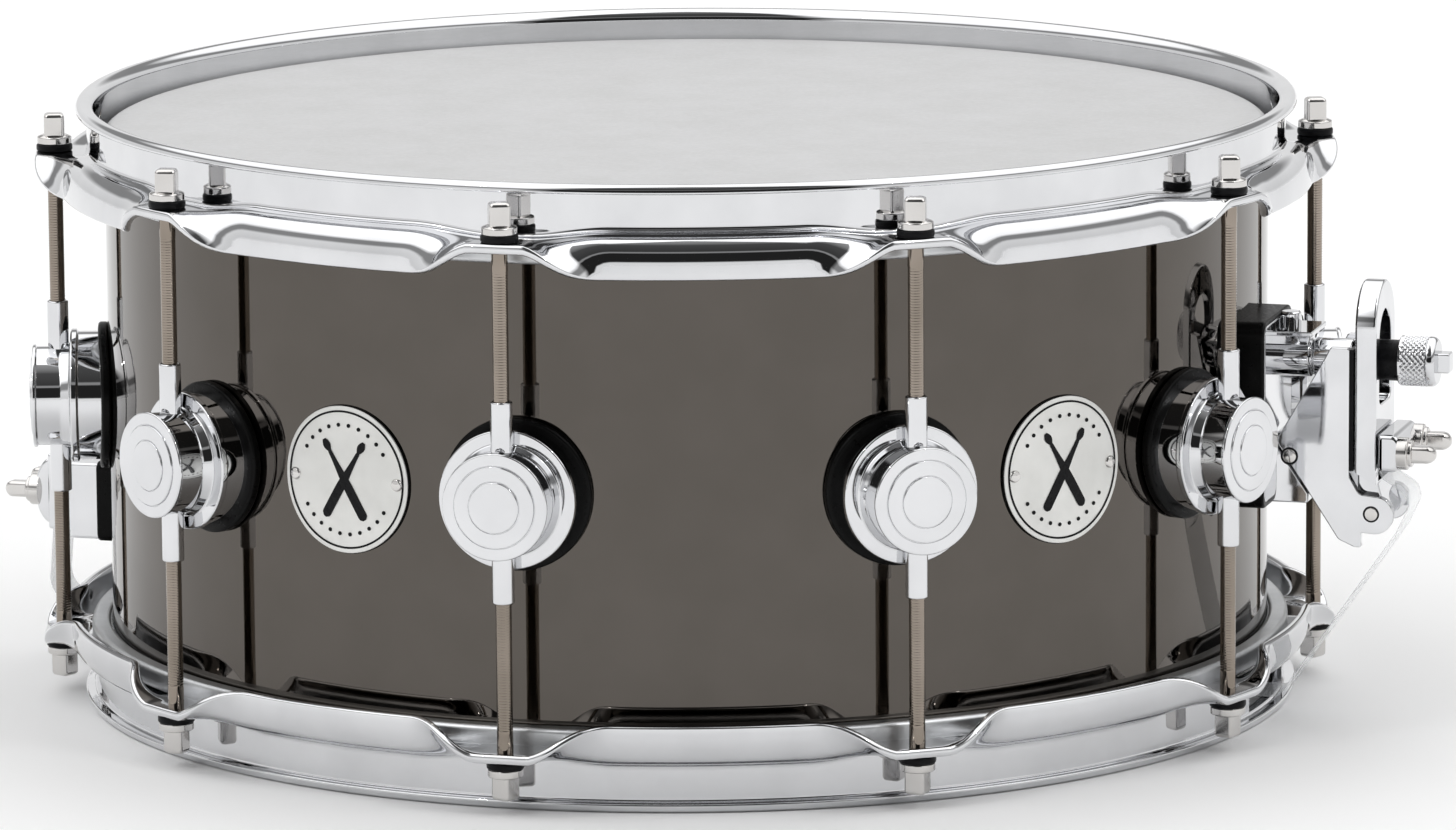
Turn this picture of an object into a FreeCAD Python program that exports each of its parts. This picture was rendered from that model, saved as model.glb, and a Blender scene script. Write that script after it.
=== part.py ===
import FreeCAD, Part
import os
import re
import Sketcher
from FreeCAD import Placement, Rotation, Vector

# A 14 x 6.5 inch metal snare drum with ten tube lugs and triple-flanged hoops.
# Millimetres, +Z up. The origin is on the drum's axis, at the face of the lower rim,
# so the drum stands on Z = 0. The throw-off is at +X, the butt plate at -X.
# A "depth" is measured along the drum's axis from the nearer rim face inwards.

DIMENSIONS = {
    # whole drum
    "total_height": 184.0,
    # shell
    "shell_radius": 177.8,
    "shell_depth": 165.1,
    "shell_wall": 1.0,
    "edge_crest": 3.0,
    "edge_fold": 5.0,
    "bed_width": 80.0,
    "bed_rise": 1.5,
    # hoops
    "rim_radius": 186.5,
    "rim_sheet": 2.6,
    "wall_inner": 180.3,
    "wall_outer": 183.1,
    "shoulder_depth": 13.6,
    "shoulder_radius": 190.3,
    "skirt_radius": 192.0,
    "skirt_sheet": 2.7,
    "skirt_depth": 27.0,
    "ear_depth": 16.0,
    "ear_sheet": 3.0,
    "ear_width": 20.0,
    "ear_reach": 199.0,
    "ear_hole": 2.8,
    "gate_width": 44.0,
    # heads
    "film_sheet": 0.5,
    "film_bend": 3.4,
    "collar_gap": 0.3,
    "flesh_radius": 184.2,
    "flesh_depth": 17.4,
    "flesh_height": 6.6,
    # rods, nuts and washers
    "rod_circle": 193.0,
    "rod_radius": 2.4,
    "rod_length": 61.5,
    "flange_radius": 5.2,
    "flange_height": 1.8,
    "head_square": 6.2,
    "head_top": 8.5,
    "washer_radius": 5.5,
    "washer_height": 3.0,
    "washer_bore": 2.75,
    "seat_gap": 0.1,
    "nut_radius": 3.25,
    "nut_bore": 2.45,
    "nut_reach": 29.6,
    "nut_space": 1.0,
    # lugs
    "gasket_radius": 22.5,
    "gasket_sheet": 3.0,
    "lug_base": 19.75,
    "lug_base_top": 9.4,
    "lug_flange": 20.5,
    "lug_flange_top": 11.4,
    "lug_neck": 15.2,
    "lug_neck_flare": 1.6,
    "lug_neck_top": 21.9,
    "lug_cap": 15.75,
    "lug_cap_top": 23.2,
    "cap_wide_step": 12.0,
    "cap_narrow_step": 7.5,
    "cap_step": 0.5,
    "lug_screw_pitch": 10.0,
    "screw_radius": 2.2,
    "screw_hole": 2.6,
    "screw_head": 4.5,
    "screw_head_height": 2.5,
    "screw_length": 7.0,
    "head_seat": 0.2,
    # badges and air vent
    "badge_radius": 22.0,
    "badge_sheet": 1.2,
    "rivet_pitch": 18.2,
    "rivet_radius": 1.9,
    "vent_radius": 7.5,
    "vent_bore": 4.5,
    "vent_stem": 5.9,
    # throw-off
    "base_width": 38.0,
    "base_low": 66.5,
    "base_high": 122.0,
    "base_face": 184.0,
    "block_reach": 198.0,
    "block_top": 118.7,
    "block_height": 4.0,
    "cap_reach": 187.8,
    "cap_side": 6.6,
    "cap_radius": 3.2,
    "cap_height": 3.5,
    "foot_reach": 197.0,
    "foot_toe": 3.0,
    "foot_rise": 22.0,
    "web_back": 204.5,
    "web_front": 209.5,
    "web_low": 80.0,
    "web_height": 19.0,
    "knob_level": 109.5,
    "barrel_radius": 6.0,
    "barrel_reach": 209.0,
    "spindle_radius": 2.95,
    "spindle_bore": 3.0,
    "knob_radius": 7.6,
    "knob_start": 223.0,
    "knob_end": 234.5,
    "key_end": 238.5,
    "cheek_inner": 11.0,
    "cheek_outer": 14.0,
    "pivot_reach": 217.1,
    "pivot_level": 64.7,
    "pin_radius": 2.5,
    "pin_bore": 2.55,
    "lever_back": 212.2,
    "lever_front": 218.4,
    "lever_low": 73.5,
    "lever_high": 134.0,
    "window_radius": 8.6,
    "window_low": 97.0,
    "window_high": 125.0,
    # strap, clamps and butt plate
    "strap_width": 19.0,
    "strap_sheet": 0.5,
    "clamp_level": 83.3,
    "clamp_height": 11.4,
    "clamp_front": 226.5,
    "clamp_screw_pitch": 11.6,
    "clamp_screw_end": 236.5,
    "butt_level": 52.6,
    "butt_height": 24.0,
    "butt_width": 54.0,
    "butt_back": 184.0,
    "butt_front": 204.7,
    "butt_clamp_front": 209.2,
    "butt_clamp_height": 21.0,
    "butt_screw_end": 219.6,
    "butt_screw_drop": 1.3,
    # snares
    "wire_radius": 0.8,
    "wire_pitch": 2.1,
    "wire_reach": 160.0,
    "plate_start": 150.0,
    "plate_end": 166.0,
    "plate_width": 45.0,
    "plate_sheet": 0.8,
}

LUG_COUNT = 10
FIRST_LUG_ANGLE = 18
LUG_STEP = 360 / LUG_COUNT
BADGE_ANGLES = (-108, -36)
VENT_ANGLE = 108
WIRE_COUNT = 20

os.makedirs("parts", exist_ok=True)
doc = FreeCAD.newDocument("snare_drum")
sheet = doc.addObject("Spreadsheet::Sheet", "Spec")
for row, (word, number) in enumerate(DIMENSIONS.items(), start=1):
    sheet.set(f"A{row}", word)
    sheet.set(f"B{row}", str(number))
    sheet.setAlias(f"B{row}", word)
doc.recompute()

sub_parts = []


# ---- expressions over the sheet -------------------------------------------------------

def cell(text):
    """Turns words such as 'shell_radius + 1' into an expression over the sheet."""
    return re.sub("[a-z_]+", lambda word: f"Spec.{word[0]}" if word[0] in DIMENSIONS else word[0], text)


def value(text):
    return float(sheet.evalExpression(cell(text)))


FILM_DEPTH = "(total_height - shell_depth) / 2 - film_sheet"
GASKET_FACE = "shell_radius + gasket_sheet"
SEAT = "ear_depth - washer_height - seat_gap"
MIDDLE = "total_height / 2"
STRAINER_SCREWS = ("base_low + 11", "base_high - 9")
BUTT_SCREWS = ("0 - butt_width / 3", "butt_width / 3")


# ---- bodies, sketches and features ----------------------------------------------------

def new_body(name, lift="0", turn=0, flip=False, at=("0", "0")):
    """An empty body; turn is about the drum's axis, flip turns it upside down."""
    body = doc.addObject("PartDesign::Body", name)
    body.Label = name
    rotation = Rotation(Vector(0, 0, 1), turn)
    if flip:
        rotation = rotation * Rotation(Vector(1, 0, 0), 180)
    body.Placement = Placement(Vector(0, 0, 0), rotation)
    for axis, text in zip("xyz", (*at, lift)):
        if text != "0":
            body.setExpression(f".Placement.Base.{axis}", cell(text))
    sub_parts.append(body)
    return body


def origin_feature(body, role):
    return next(item for item in body.Origin.OriginFeatures if item.Role == role)


def new_sketch(body, plane, offset="0", turn=0):
    """A sketch on one of the body's origin planes, moved along the plane's normal.

    On a standing plane, turn swings the sketch about the drum's axis.
    """
    sketch = body.newObject("Sketcher::SketchObject", f"{body.Name}_sketch")
    sketch.AttachmentSupport = [(origin_feature(body, plane), "")]
    sketch.MapMode = "FlatFace"
    sketch.AttachmentOffset = Placement(Vector(0, 0, 0), Rotation(Vector(0, 1, 0), turn))
    if offset != "0":
        sketch.setExpression(".AttachmentOffset.Base.z", cell(offset))
    return sketch


def bind(sketch, kind, text, *geometry):
    index = sketch.addConstraint(Sketcher.Constraint(kind, *geometry, value(text)))
    sketch.setExpression(f"Constraints[{index}]", cell(text))


def add_outline(sketch, corners):
    """A closed outline; each corner is (x, y) or (x, y, rounding) in words of the sheet."""
    first = sketch.GeometryCount
    count = len(corners)
    points = [Vector(value(corner[0]), value(corner[1]), 0) for corner in corners]
    for index in range(count):
        sketch.addGeometry(Part.LineSegment(points[index], points[(index + 1) % count]), False)
    for index, corner in enumerate(corners):
        line = first + index
        before = first + (index - 1) % count
        sketch.addConstraint(Sketcher.Constraint("Coincident", before, 2, line, 1))
        bind(sketch, "DistanceX", corner[0], -1, 1, line, 1)
        bind(sketch, "DistanceY", corner[1], -1, 1, line, 1)
    for index, corner in enumerate(corners):
        if len(corner) == 3:
            previous, here, following = (points[index - 1], points[index], points[(index + 1) % count])
            line = first + index
            before = first + (index - 1) % count
            arc = sketch.GeometryCount
            sketch.fillet(before, line, (previous + here) / 2, (following + here) / 2,
                          value(corner[2]), True, True)
            bind(sketch, "Radius", corner[2], arc)


def add_circle(sketch, x, y, radius):
    index = sketch.addGeometry(Part.Circle(Vector(value(x), value(y), 0), Vector(0, 0, 1),
                                           value(radius)), False)
    bind(sketch, "DistanceX", x, -1, 1, index, 3)
    bind(sketch, "DistanceY", y, -1, 1, index, 3)
    bind(sketch, "Radius", radius, index)


def revolve(body, corners, axis="V_Axis"):
    sketch = new_sketch(body, "XZ_Plane")
    add_outline(sketch, corners)
    feature = body.newObject("PartDesign::Revolution", f"{body.Name}_turned")
    feature.Profile = sketch
    feature.ReferenceAxis = (sketch, [axis])
    feature.Angle = 360
    doc.recompute()
    return feature


def pad(body, sketch, length, symmetric=False, against=False):
    feature = body.newObject("PartDesign::Pad", f"{body.Name}_pad")
    feature.Profile = sketch
    feature.setExpression("Length", cell(length))
    feature.SideType = "Symmetric" if symmetric else "One side"
    feature.Reversed = against
    doc.recompute()
    return feature


def pocket(body, sketch, length, symmetric=False, against=False):
    """A pocket that must remove material, so the volume before and after is compared."""
    before = body.Shape.Volume
    feature = body.newObject("PartDesign::Pocket", f"{body.Name}_pocket")
    feature.Profile = sketch
    feature.setExpression("Length", cell(length))
    feature.SideType = "Symmetric" if symmetric else "One side"
    feature.Reversed = against
    doc.recompute()
    if body.Shape.Volume >= before:
        raise RuntimeError(f"{body.Label}: a pocket removed nothing")
    return feature


def around(body, features, count, angle=360):
    """Repeats features about the body's Z axis."""
    pattern = body.newObject("PartDesign::PolarPattern", f"{body.Name}_pattern")
    pattern.Originals = features
    pattern.Axis = (origin_feature(body, "Z_Axis"), [""])
    pattern.Angle = angle
    pattern.Occurrences = count
    body.Tip = pattern
    doc.recompute()
    return pattern


def slab(body, x, y, low, height, rounding=None):
    """A block over the rectangle x = (from, to), y = (from, to), from low upwards."""
    corners = [(x[0], y[0]), (x[1], y[0]), (x[1], y[1]), (x[0], y[1])]
    if rounding:
        corners = [(*corner, rounding) for corner in corners]
    sketch = new_sketch(body, "XY_Plane", low)
    add_outline(sketch, corners)
    return pad(body, sketch, height)


def side_plate(body, corners, start, thickness):
    """A plate with its outline in the XZ plane, from Y = start towards +Y."""
    sketch = new_sketch(body, "XZ_Plane", f"0 - ({start})")
    add_outline(sketch, corners)
    return pad(body, sketch, thickness, against=True)


def rod_along_x(body, y, z, radius, start, length, bore=None):
    sketch = new_sketch(body, "YZ_Plane", start)
    add_circle(sketch, y, z, radius)
    if bore:
        add_circle(sketch, y, z, bore)
    return pad(body, sketch, length)


def rod_along_z(body, x, y, radius, start, length, bore=None):
    sketch = new_sketch(body, "XY_Plane", start)
    add_circle(sketch, x, y, radius)
    if bore:
        add_circle(sketch, x, y, bore)
    return pad(body, sketch, length)


def trim_to_shell(body, outer=None):
    """Cuts a body back to the shell's surface, and to a second cylinder if it is given."""
    sketch = new_sketch(body, "XY_Plane")
    add_circle(sketch, "0", "0", "shell_radius")
    if outer:
        add_circle(sketch, "0", "0", outer)
        add_circle(sketch, "0", "0", "rim_radius * 2")
    return pocket(body, sketch, "total_height * 2", symmetric=True)


# ---- shell and heads ------------------------------------------------------------------

def make_shell():
    body = new_body("shell", lift=MIDDLE)
    half = "shell_depth / 2"
    crest = "shell_radius - edge_crest"
    fold = f"{crest} - edge_fold"
    upper = [
        ("shell_radius", f"{half} - edge_crest"),
        (crest, half),
        (fold, f"{half} - edge_fold"),
        (f"{fold} + shell_wall * 0.7", f"{half} - edge_fold - shell_wall * 0.7"),
        (crest, f"{half} - shell_wall * 1.4"),
        ("shell_radius - shell_wall", f"{half} - edge_crest - shell_wall * 0.4"),
    ]
    lower = [(x, f"0 - ({y})") for x, y in reversed(upper)]
    revolve(body, upper + lower)

    holes = new_sketch(body, "XZ_Plane")
    for side in ("0 - lug_screw_pitch", "lug_screw_pitch"):
        add_circle(holes, "0", side, "screw_hole")
    lug_holes = pocket(body, holes, "shell_radius * 3", symmetric=True)
    around(body, [lug_holes], LUG_COUNT // 2, 180 - LUG_STEP)

    mount_holes = new_sketch(body, "YZ_Plane")
    for level in STRAINER_SCREWS:
        add_circle(mount_holes, "0", f"{level} - {MIDDLE}", "screw_hole")
    pocket(body, mount_holes, "shell_radius * 2", against=True)
    butt_holes = new_sketch(body, "YZ_Plane")
    for side in BUTT_SCREWS:
        add_circle(butt_holes, side, f"butt_level - {MIDDLE}", "screw_hole")
    pocket(body, butt_holes, "shell_radius * 2")

    beds = new_sketch(body, "YZ_Plane")
    add_outline(beds, [("0 - bed_width / 2", "0 - shell_depth / 2 - 1"),
                       ("bed_width / 2", "0 - shell_depth / 2 - 1"),
                       ("bed_width / 3", "0 - shell_depth / 2 + bed_rise"),
                       ("0 - bed_width / 3", "0 - shell_depth / 2 + bed_rise")])
    pocket(body, beds, "shell_radius * 3", symmetric=True)

    vent = new_sketch(body, "YZ_Plane", turn=VENT_ANGLE)
    add_circle(vent, "0", "0", "vent_stem")
    pocket(body, vent, "shell_radius * 2", against=True)


def make_head(prefix, top):
    """The film with its collar, and the flesh hoop that holds it; depths run inwards."""
    lift = "total_height" if top else "0"
    film = new_body(f"{prefix}_head_film", lift=lift, flip=top)
    inner = "shell_radius + collar_gap"
    outer = f"{inner} + film_sheet"
    low = "flesh_depth + flesh_height - 1"
    revolve(film, [("0", FILM_DEPTH), (outer, FILM_DEPTH, "film_bend"), (outer, low), (inner, low),
                   (inner, f"{FILM_DEPTH} + film_sheet", "film_bend - film_sheet"),
                   ("0", f"{FILM_DEPTH} + film_sheet")])
    ring = new_body(f"{prefix}_flesh_hoop", lift=lift, flip=top)
    bottom = "flesh_depth + flesh_height"
    revolve(ring, [(outer, "flesh_depth", "0.3"), ("flesh_radius", "flesh_depth", "1.2"),
                   ("flesh_radius", bottom, "1.2"), (outer, bottom, "0.3")])


# ---- hoops ----------------------------------------------------------------------------

def make_hoop(name, top, gates):
    """A triple-flanged hoop: rim, wall, shoulder and skirt, with an ear at each rod."""
    body = new_body(name, lift="total_height" if top else "0", flip=top)
    inner_skirt = "skirt_radius - skirt_sheet"
    revolve(body, [
        ("wall_inner", "0", "0.6"),
        ("rim_radius", "0", "1.1"),
        ("rim_radius", "rim_sheet", "1.1"),
        ("wall_outer", "rim_sheet", "0.8"),
        ("wall_outer", "shoulder_depth", "1.0"),
        ("shoulder_radius", "shoulder_depth + 1.2", "2.4"),
        ("skirt_radius", "skirt_depth", "1.0"),
        (inner_skirt, "skirt_depth", "1.0"),
        (f"{inner_skirt} - 1.6", "shoulder_depth + 4", "1.0"),
        ("wall_inner", "shoulder_depth + 3", "0.8"),
    ])
    half = "ear_width / 2"

    # The ear is drawn at +Y, where there is a lug, and the pattern makes the other nine.
    gap = new_sketch(body, "XY_Plane", "ear_depth + ear_sheet")
    inner = "flesh_radius + 2.2"
    add_outline(gap, [(f"0 - {half} - 1", inner), (f"{half} + 1", inner),
                      (f"{half} + 1", "ear_reach"), (f"0 - {half} - 1", "ear_reach")])
    gap_cut = pocket(body, gap, "skirt_depth", against=True)

    ear = new_sketch(body, "XY_Plane", "ear_depth")
    root = "wall_outer + 1.5"
    add_outline(ear, [(f"0 - {half}", root), (half, root),
                      (half, "ear_reach", "4.0"), (f"0 - {half}", "ear_reach", "4.0")])
    ear_pad = pad(body, ear, "ear_sheet")

    seat = new_sketch(body, "XY_Plane", "ear_depth")
    add_circle(seat, "0", "rod_circle", "washer_radius + 0.6")
    seat_cut = pocket(body, seat, "ear_depth - rim_sheet")

    hole = new_sketch(body, "XY_Plane", "ear_depth")
    add_circle(hole, "0", "rod_circle", "ear_hole")
    hole_cut = pocket(body, hole, "ear_sheet", against=True)
    around(body, [gap_cut, ear_pad, seat_cut, hole_cut], LUG_COUNT)

    if gates:
        gate = new_sketch(body, "YZ_Plane")
        side, low, high = "gate_width / 2", "rim_sheet + 1.4", "shoulder_depth - 1.6"
        add_outline(gate, [(f"0 - {side}", low, "2.0"), (side, low, "2.0"),
                           (side, high, "2.0"), (f"0 - {side}", high, "2.0")])
        pocket(body, gate, "rim_radius * 3", symmetric=True)


# ---- tension rods, washers and lugs ---------------------------------------------------

def make_rod(name, angle, top):
    """A square-headed tension rod; its own Z = 0 is the flange's underside."""
    at = (f"rod_circle * cos({angle} deg)", f"rod_circle * sin({angle} deg)")
    lift = f"total_height - ({SEAT})" if top else SEAT
    body = new_body(name, lift=lift, turn=angle, flip=not top, at=at)
    revolve(body, [("0", "0 - rod_length"), ("rod_radius", "0 - rod_length", "0.8"),
                   ("rod_radius", "0"), ("flange_radius", "0", "0.3"),
                   ("flange_radius", "flange_height", "0.6"), ("0", "flange_height")])
    half = "head_square / 2"
    head = slab(body, (f"0 - {half}", half), (f"0 - {half}", half), "flange_height / 2",
                "head_top - flange_height / 2", "0.9")
    crown = [f"Edge{number}" for number, edge in enumerate(head.Shape.Edges, start=1)
             if edge.BoundBox.ZMin > value("head_top") - 0.01]
    chamfer = body.newObject("PartDesign::Chamfer", f"{name}_crown")
    chamfer.Base = (head, crown)
    chamfer.Size = 0.6
    doc.recompute()


def make_washers():
    """Twenty nylon washers, one on each hoop ear."""
    body = new_body("rod_washers", lift=MIDDLE)
    reach = f"{MIDDLE} - ear_depth"
    rings = [rod_along_z(body, "0", "rod_circle", "washer_radius", start, "washer_height", "washer_bore")
             for start in (reach, f"0 - ({reach}) - washer_height")]
    around(body, rings, LUG_COUNT)


def make_tube_nuts():
    """Twenty threaded tubes held in the lugs' necks; the rods screw into them."""
    body = new_body("lug_tube_nuts", lift=MIDDLE)
    tubes = [rod_along_z(body, "0", "rod_circle", "nut_radius", start, "nut_reach - nut_space", "nut_bore")
             for start in ("nut_space", "0 - nut_reach")]
    around(body, tubes, LUG_COUNT)


def make_lug(name, angle):
    """A round lug turned about its radial axis; its own X axis points outwards."""
    body = new_body(name, lift=MIDDLE, turn=angle)
    shell = "shell_radius"
    base, flange, neck = (f"{shell} + lug_{name}_top" for name in ("base", "flange", "neck"))
    cap = f"{shell} + lug_cap_top"
    ring = f"{cap} + cap_step"
    face = f"{ring} + cap_step"
    revolve(body, [
        (f"{shell} + 1.0", "0"),
        (f"{shell} + 1.0", "lug_base"),
        (base, "lug_base", "0.3"),
        (base, "lug_flange", "0.3"),
        (flange, "lug_flange", "1.0"),
        (flange, "lug_neck + 0.9", "0.3"),
        (f"{flange} + lug_neck_flare", "lug_neck", "0.8"),
        (neck, "lug_neck"),
        (neck, "lug_cap", "0.3"),
        (cap, "lug_cap", "0.6"),
        (cap, "cap_wide_step + 0.4"),
        (ring, "cap_wide_step", "0.3"),
        (ring, "cap_narrow_step + 0.4"),
        (face, "cap_narrow_step", "0.3"),
        (face, "0"),
    ], "H_Axis")
    saddle = new_sketch(body, "XY_Plane")
    add_circle(saddle, "0", "0", GASKET_FACE)
    pocket(body, saddle, "lug_base * 3", symmetric=True)
    nut_bore = new_sketch(body, "XY_Plane")
    add_circle(nut_bore, "rod_circle", "0", "nut_radius")
    pocket(body, nut_bore, "lug_base * 3", symmetric=True)
    screw_bores = new_sketch(body, "YZ_Plane")
    for level in ("0 - lug_screw_pitch", "lug_screw_pitch"):
        add_circle(screw_bores, "0", level, "screw_radius")
    pocket(body, screw_bores, "shell_radius + 9", against=True)


def make_lug_gaskets():
    """Ten black gaskets, curved to the shell, one under each lug."""
    body = new_body("lug_gaskets", lift=MIDDLE)
    disc = new_sketch(body, "XZ_Plane")
    add_circle(disc, "0", "0", "gasket_radius")
    for level in ("0 - lug_screw_pitch", "lug_screw_pitch"):
        add_circle(disc, "0", level, "screw_hole")
    discs = pad(body, disc, "shell_radius + 10")
    around(body, [discs], LUG_COUNT)
    trim_to_shell(body, GASKET_FACE)


def screw_holes(body, centres, radius, depth):
    """Holes along the body's own +X axis, from the drum's axis out to depth."""
    sketch = new_sketch(body, "YZ_Plane")
    for side, level in centres:
        add_circle(sketch, side, level, radius)
    pocket(body, sketch, depth, against=True)


def make_mounting_screws():
    """The screws inside the shell: two for each lug, two for the throw-off, two for the butt plate.

    Each head stands off the curved wall by head_seat, so that its flat face clears it.
    """
    body = new_body("mounting_screws", lift=MIDDLE)
    seat = "shell_radius - shell_wall - head_seat"
    shapes = (("screw_head", f"{seat} - screw_head_height", "screw_head_height"),
              ("screw_radius", f"{seat} - 1", "screw_length + 1"))
    pads = []
    for level in ("0 - lug_screw_pitch", "lug_screw_pitch"):
        for radius, start, length in shapes:
            sketch = new_sketch(body, "XZ_Plane", start)
            add_circle(sketch, "0", level, radius)
            pads.append(pad(body, sketch, length))
    around(body, pads, LUG_COUNT)
    for level in STRAINER_SCREWS:
        for radius, start, length in shapes:
            rod_along_x(body, "0", f"{level} - {MIDDLE}", radius, start, length)
    reach = {"screw_head": "0", "screw_radius": "5"}
    for side in BUTT_SCREWS:
        for radius, start, length in shapes:
            sketch = new_sketch(body, "YZ_Plane", f"butt_screw_drop - ({start})")
            add_circle(sketch, side, f"butt_level - {MIDDLE}", radius)
            pad(body, sketch, f"{length} + {reach[radius]}", against=True)


# ---- badges and air vent --------------------------------------------------------------

def make_badges():
    """Two plain round plates, curved to the shell."""
    body = new_body("badges", lift=MIDDLE)
    for angle in BADGE_ANGLES:
        disc = new_sketch(body, "YZ_Plane", turn=angle)
        add_circle(disc, "0", "0", "badge_radius")
        pad(body, disc, "shell_radius + 10")
    trim_to_shell(body, "shell_radius + badge_sheet")


def make_badge_rivets():
    """Four domed rivets, at the left and right of each badge."""
    body = new_body("badge_rivets", lift=MIDDLE)
    for angle in BADGE_ANGLES:
        for side in ("0 - rivet_pitch", "rivet_pitch"):
            sketch = new_sketch(body, "YZ_Plane", turn=angle)
            add_circle(sketch, side, "0", "rivet_radius")
            pad(body, sketch, "shell_radius + badge_sheet + 0.9")
    core = new_sketch(body, "XY_Plane")
    add_circle(core, "0", "0", "shell_radius + badge_sheet")
    pocket(body, core, "badge_radius * 3", symmetric=True)


def make_vent():
    """The air-vent grommet, a flanged eyelet through the shell."""
    body = new_body("air_vent_grommet", lift=MIDDLE, turn=VENT_ANGLE)
    inner = "shell_radius - shell_wall"
    revolve(body, [(f"{inner} - 1.2", "vent_bore"), (f"{inner} - 1.2", "vent_radius", "0.5"),
                   (f"{inner} - 0.2", "vent_radius"), (f"{inner} - 0.2", "vent_stem"),
                   ("shell_radius + 0.1", "vent_stem"), ("shell_radius + 0.1", "vent_radius"),
                   ("shell_radius + 1.6", "vent_radius", "0.8"), ("shell_radius + 1.6", "vent_bore", "0.8")],
            "H_Axis")


# ---- throw-off ------------------------------------------------------------------------

BASE_HALF = "base_width / 2"
BASE_TALL = "base_high - base_low"
INNER_HALF = "cheek_inner - 0.6"


def make_strainer_base():
    """The fixed part: a plate on a gasket, a barrel for the spindle under a capped block, and a foot."""
    pad_body = new_body("strainer_gasket")
    slab(pad_body, ("shell_radius - 5", "base_face"), (f"0 - {BASE_HALF} - 1", f"{BASE_HALF} + 1"),
         "base_low - 1", f"{BASE_TALL} + 2")
    trim_to_shell(pad_body, "shell_radius + 2.5")
    screws = [("0", level) for level in STRAINER_SCREWS]
    screw_holes(pad_body, screws, "screw_hole", "base_face")

    base = new_body("strainer_base")
    slab(base, ("shell_radius - 5", "base_face + 1.5"), (f"0 - {BASE_HALF}", BASE_HALF),
         "base_low", BASE_TALL)
    core = new_sketch(base, "XY_Plane")
    add_circle(core, "0", "0", "shell_radius + 2.5")
    pocket(base, core, "total_height * 2", symmetric=True)
    rod_along_x(base, "0", "knob_level", "barrel_radius", "base_face - 1", "barrel_reach - base_face + 1")
    slab(base, ("base_face", "block_reach"), (f"0 - ({INNER_HALF})", INNER_HALF),
         "block_top - block_height", "block_height", "1.5")
    cap = new_sketch(base, "XY_Plane", "block_top - 0.5")
    add_circle(cap, "cap_reach", "cap_side", "cap_radius")
    pad(base, cap, "cap_height + 0.5")
    side_plate(base, [("base_face", "base_low"), ("foot_reach", "base_low", "1.0"),
                      ("foot_reach", "base_low + foot_toe", "1.0"), ("base_face", "base_low + foot_rise")],
               f"0 - ({INNER_HALF})", f"({INNER_HALF}) * 2")
    bore = new_sketch(base, "YZ_Plane", "base_face + 4")
    add_circle(bore, "0", "knob_level", "spindle_bore")
    pocket(base, bore, "barrel_reach", against=True)
    screw_holes(base, screws, "screw_radius", "base_face")


def make_carriage():
    """Two kite-shaped cheeks and the web between them; the knob raises and lowers them."""
    body = new_body("strainer_carriage")
    cheek = [
        ("202.4", "111.2", "1.5"),
        ("187.8", "86.0", "2.5"),
        ("207.0", "56.6", "3.0"),
        ("212.0", "54.4", "1.5"),
        ("213.9", "54.4"),
        ("213.9", "58.9"),
        ("pivot_reach + 0.6", "58.6", "2.0"),
        ("pivot_reach + 6.6", "58.8", "5.5"),
        ("pivot_reach + 6.6", "69.6", "5.0"),
        ("213.4", "70.6", "2.5"),
        ("210.2", "76.2", "3.0"),
        ("210.2", "115.0", "0.8"),
        ("204.4", "115.0", "0.8"),
    ]
    thickness = "cheek_outer - cheek_inner"
    side_plate(body, cheek, "0 - cheek_outer", thickness)
    side_plate(body, cheek, "cheek_inner", thickness)
    slab(body, ("web_back", "web_front"), ("0 - cheek_inner - 1", "cheek_inner + 1"),
         "web_low", "web_height", "0.8")
    bore = new_sketch(body, "XZ_Plane")
    add_circle(bore, "pivot_reach", "pivot_level", "pin_radius")
    pocket(body, bore, "cheek_outer * 3", symmetric=True)

    pin = new_body("lever_pivot_pin")
    sketch = new_sketch(pin, "XZ_Plane")
    add_circle(sketch, "pivot_reach", "pivot_level", "pin_radius")
    pad(pin, sketch, "cheek_outer * 2 + 0.6", symmetric=True)


def make_lever():
    """The throw lever: a knuckle on the pin, a wide arm and a loop around the knob."""
    body = new_body("throw_lever")
    arm = new_sketch(body, "YZ_Plane", "lever_back")
    half = "cheek_outer"
    add_outline(arm, [(f"0 - {half}", "lever_low", "1.0"), (half, "lever_low", "1.0"),
                      (half, "118"), (f"{half} - 0.6", "lever_high", "11.0"),
                      (f"0.6 - {half}", "lever_high", "11.0"), (f"0 - {half}", "118")])
    pad(body, arm, "lever_front - lever_back")
    knuckle = new_sketch(body, "XZ_Plane")
    add_outline(knuckle, [("pivot_reach - 4.9", "pivot_level - 4.9", "4.1"),
                          ("pivot_reach + 4.9", "pivot_level - 4.9", "4.1"),
                          ("lever_front", "lever_low + 0.5"), ("lever_back", "lever_low + 4")])
    pad(body, knuckle, "(cheek_inner - 0.5) * 2", symmetric=True)
    window = new_sketch(body, "YZ_Plane", "lever_back - 1")
    wide = "window_radius"
    add_outline(window, [(f"0 - {wide}", "window_low", "window_radius - 0.2"),
                         (wide, "window_low", "window_radius - 0.2"),
                         (wide, "window_high", "window_radius - 0.2"),
                         (f"0 - {wide}", "window_high", "window_radius - 0.2")])
    pocket(body, window, "lever_front - lever_back + 2", against=True)
    bore = new_sketch(body, "XZ_Plane")
    add_circle(bore, "pivot_reach", "pivot_level", "pin_bore")
    pocket(body, bore, "cheek_outer * 3", symmetric=True)


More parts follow.
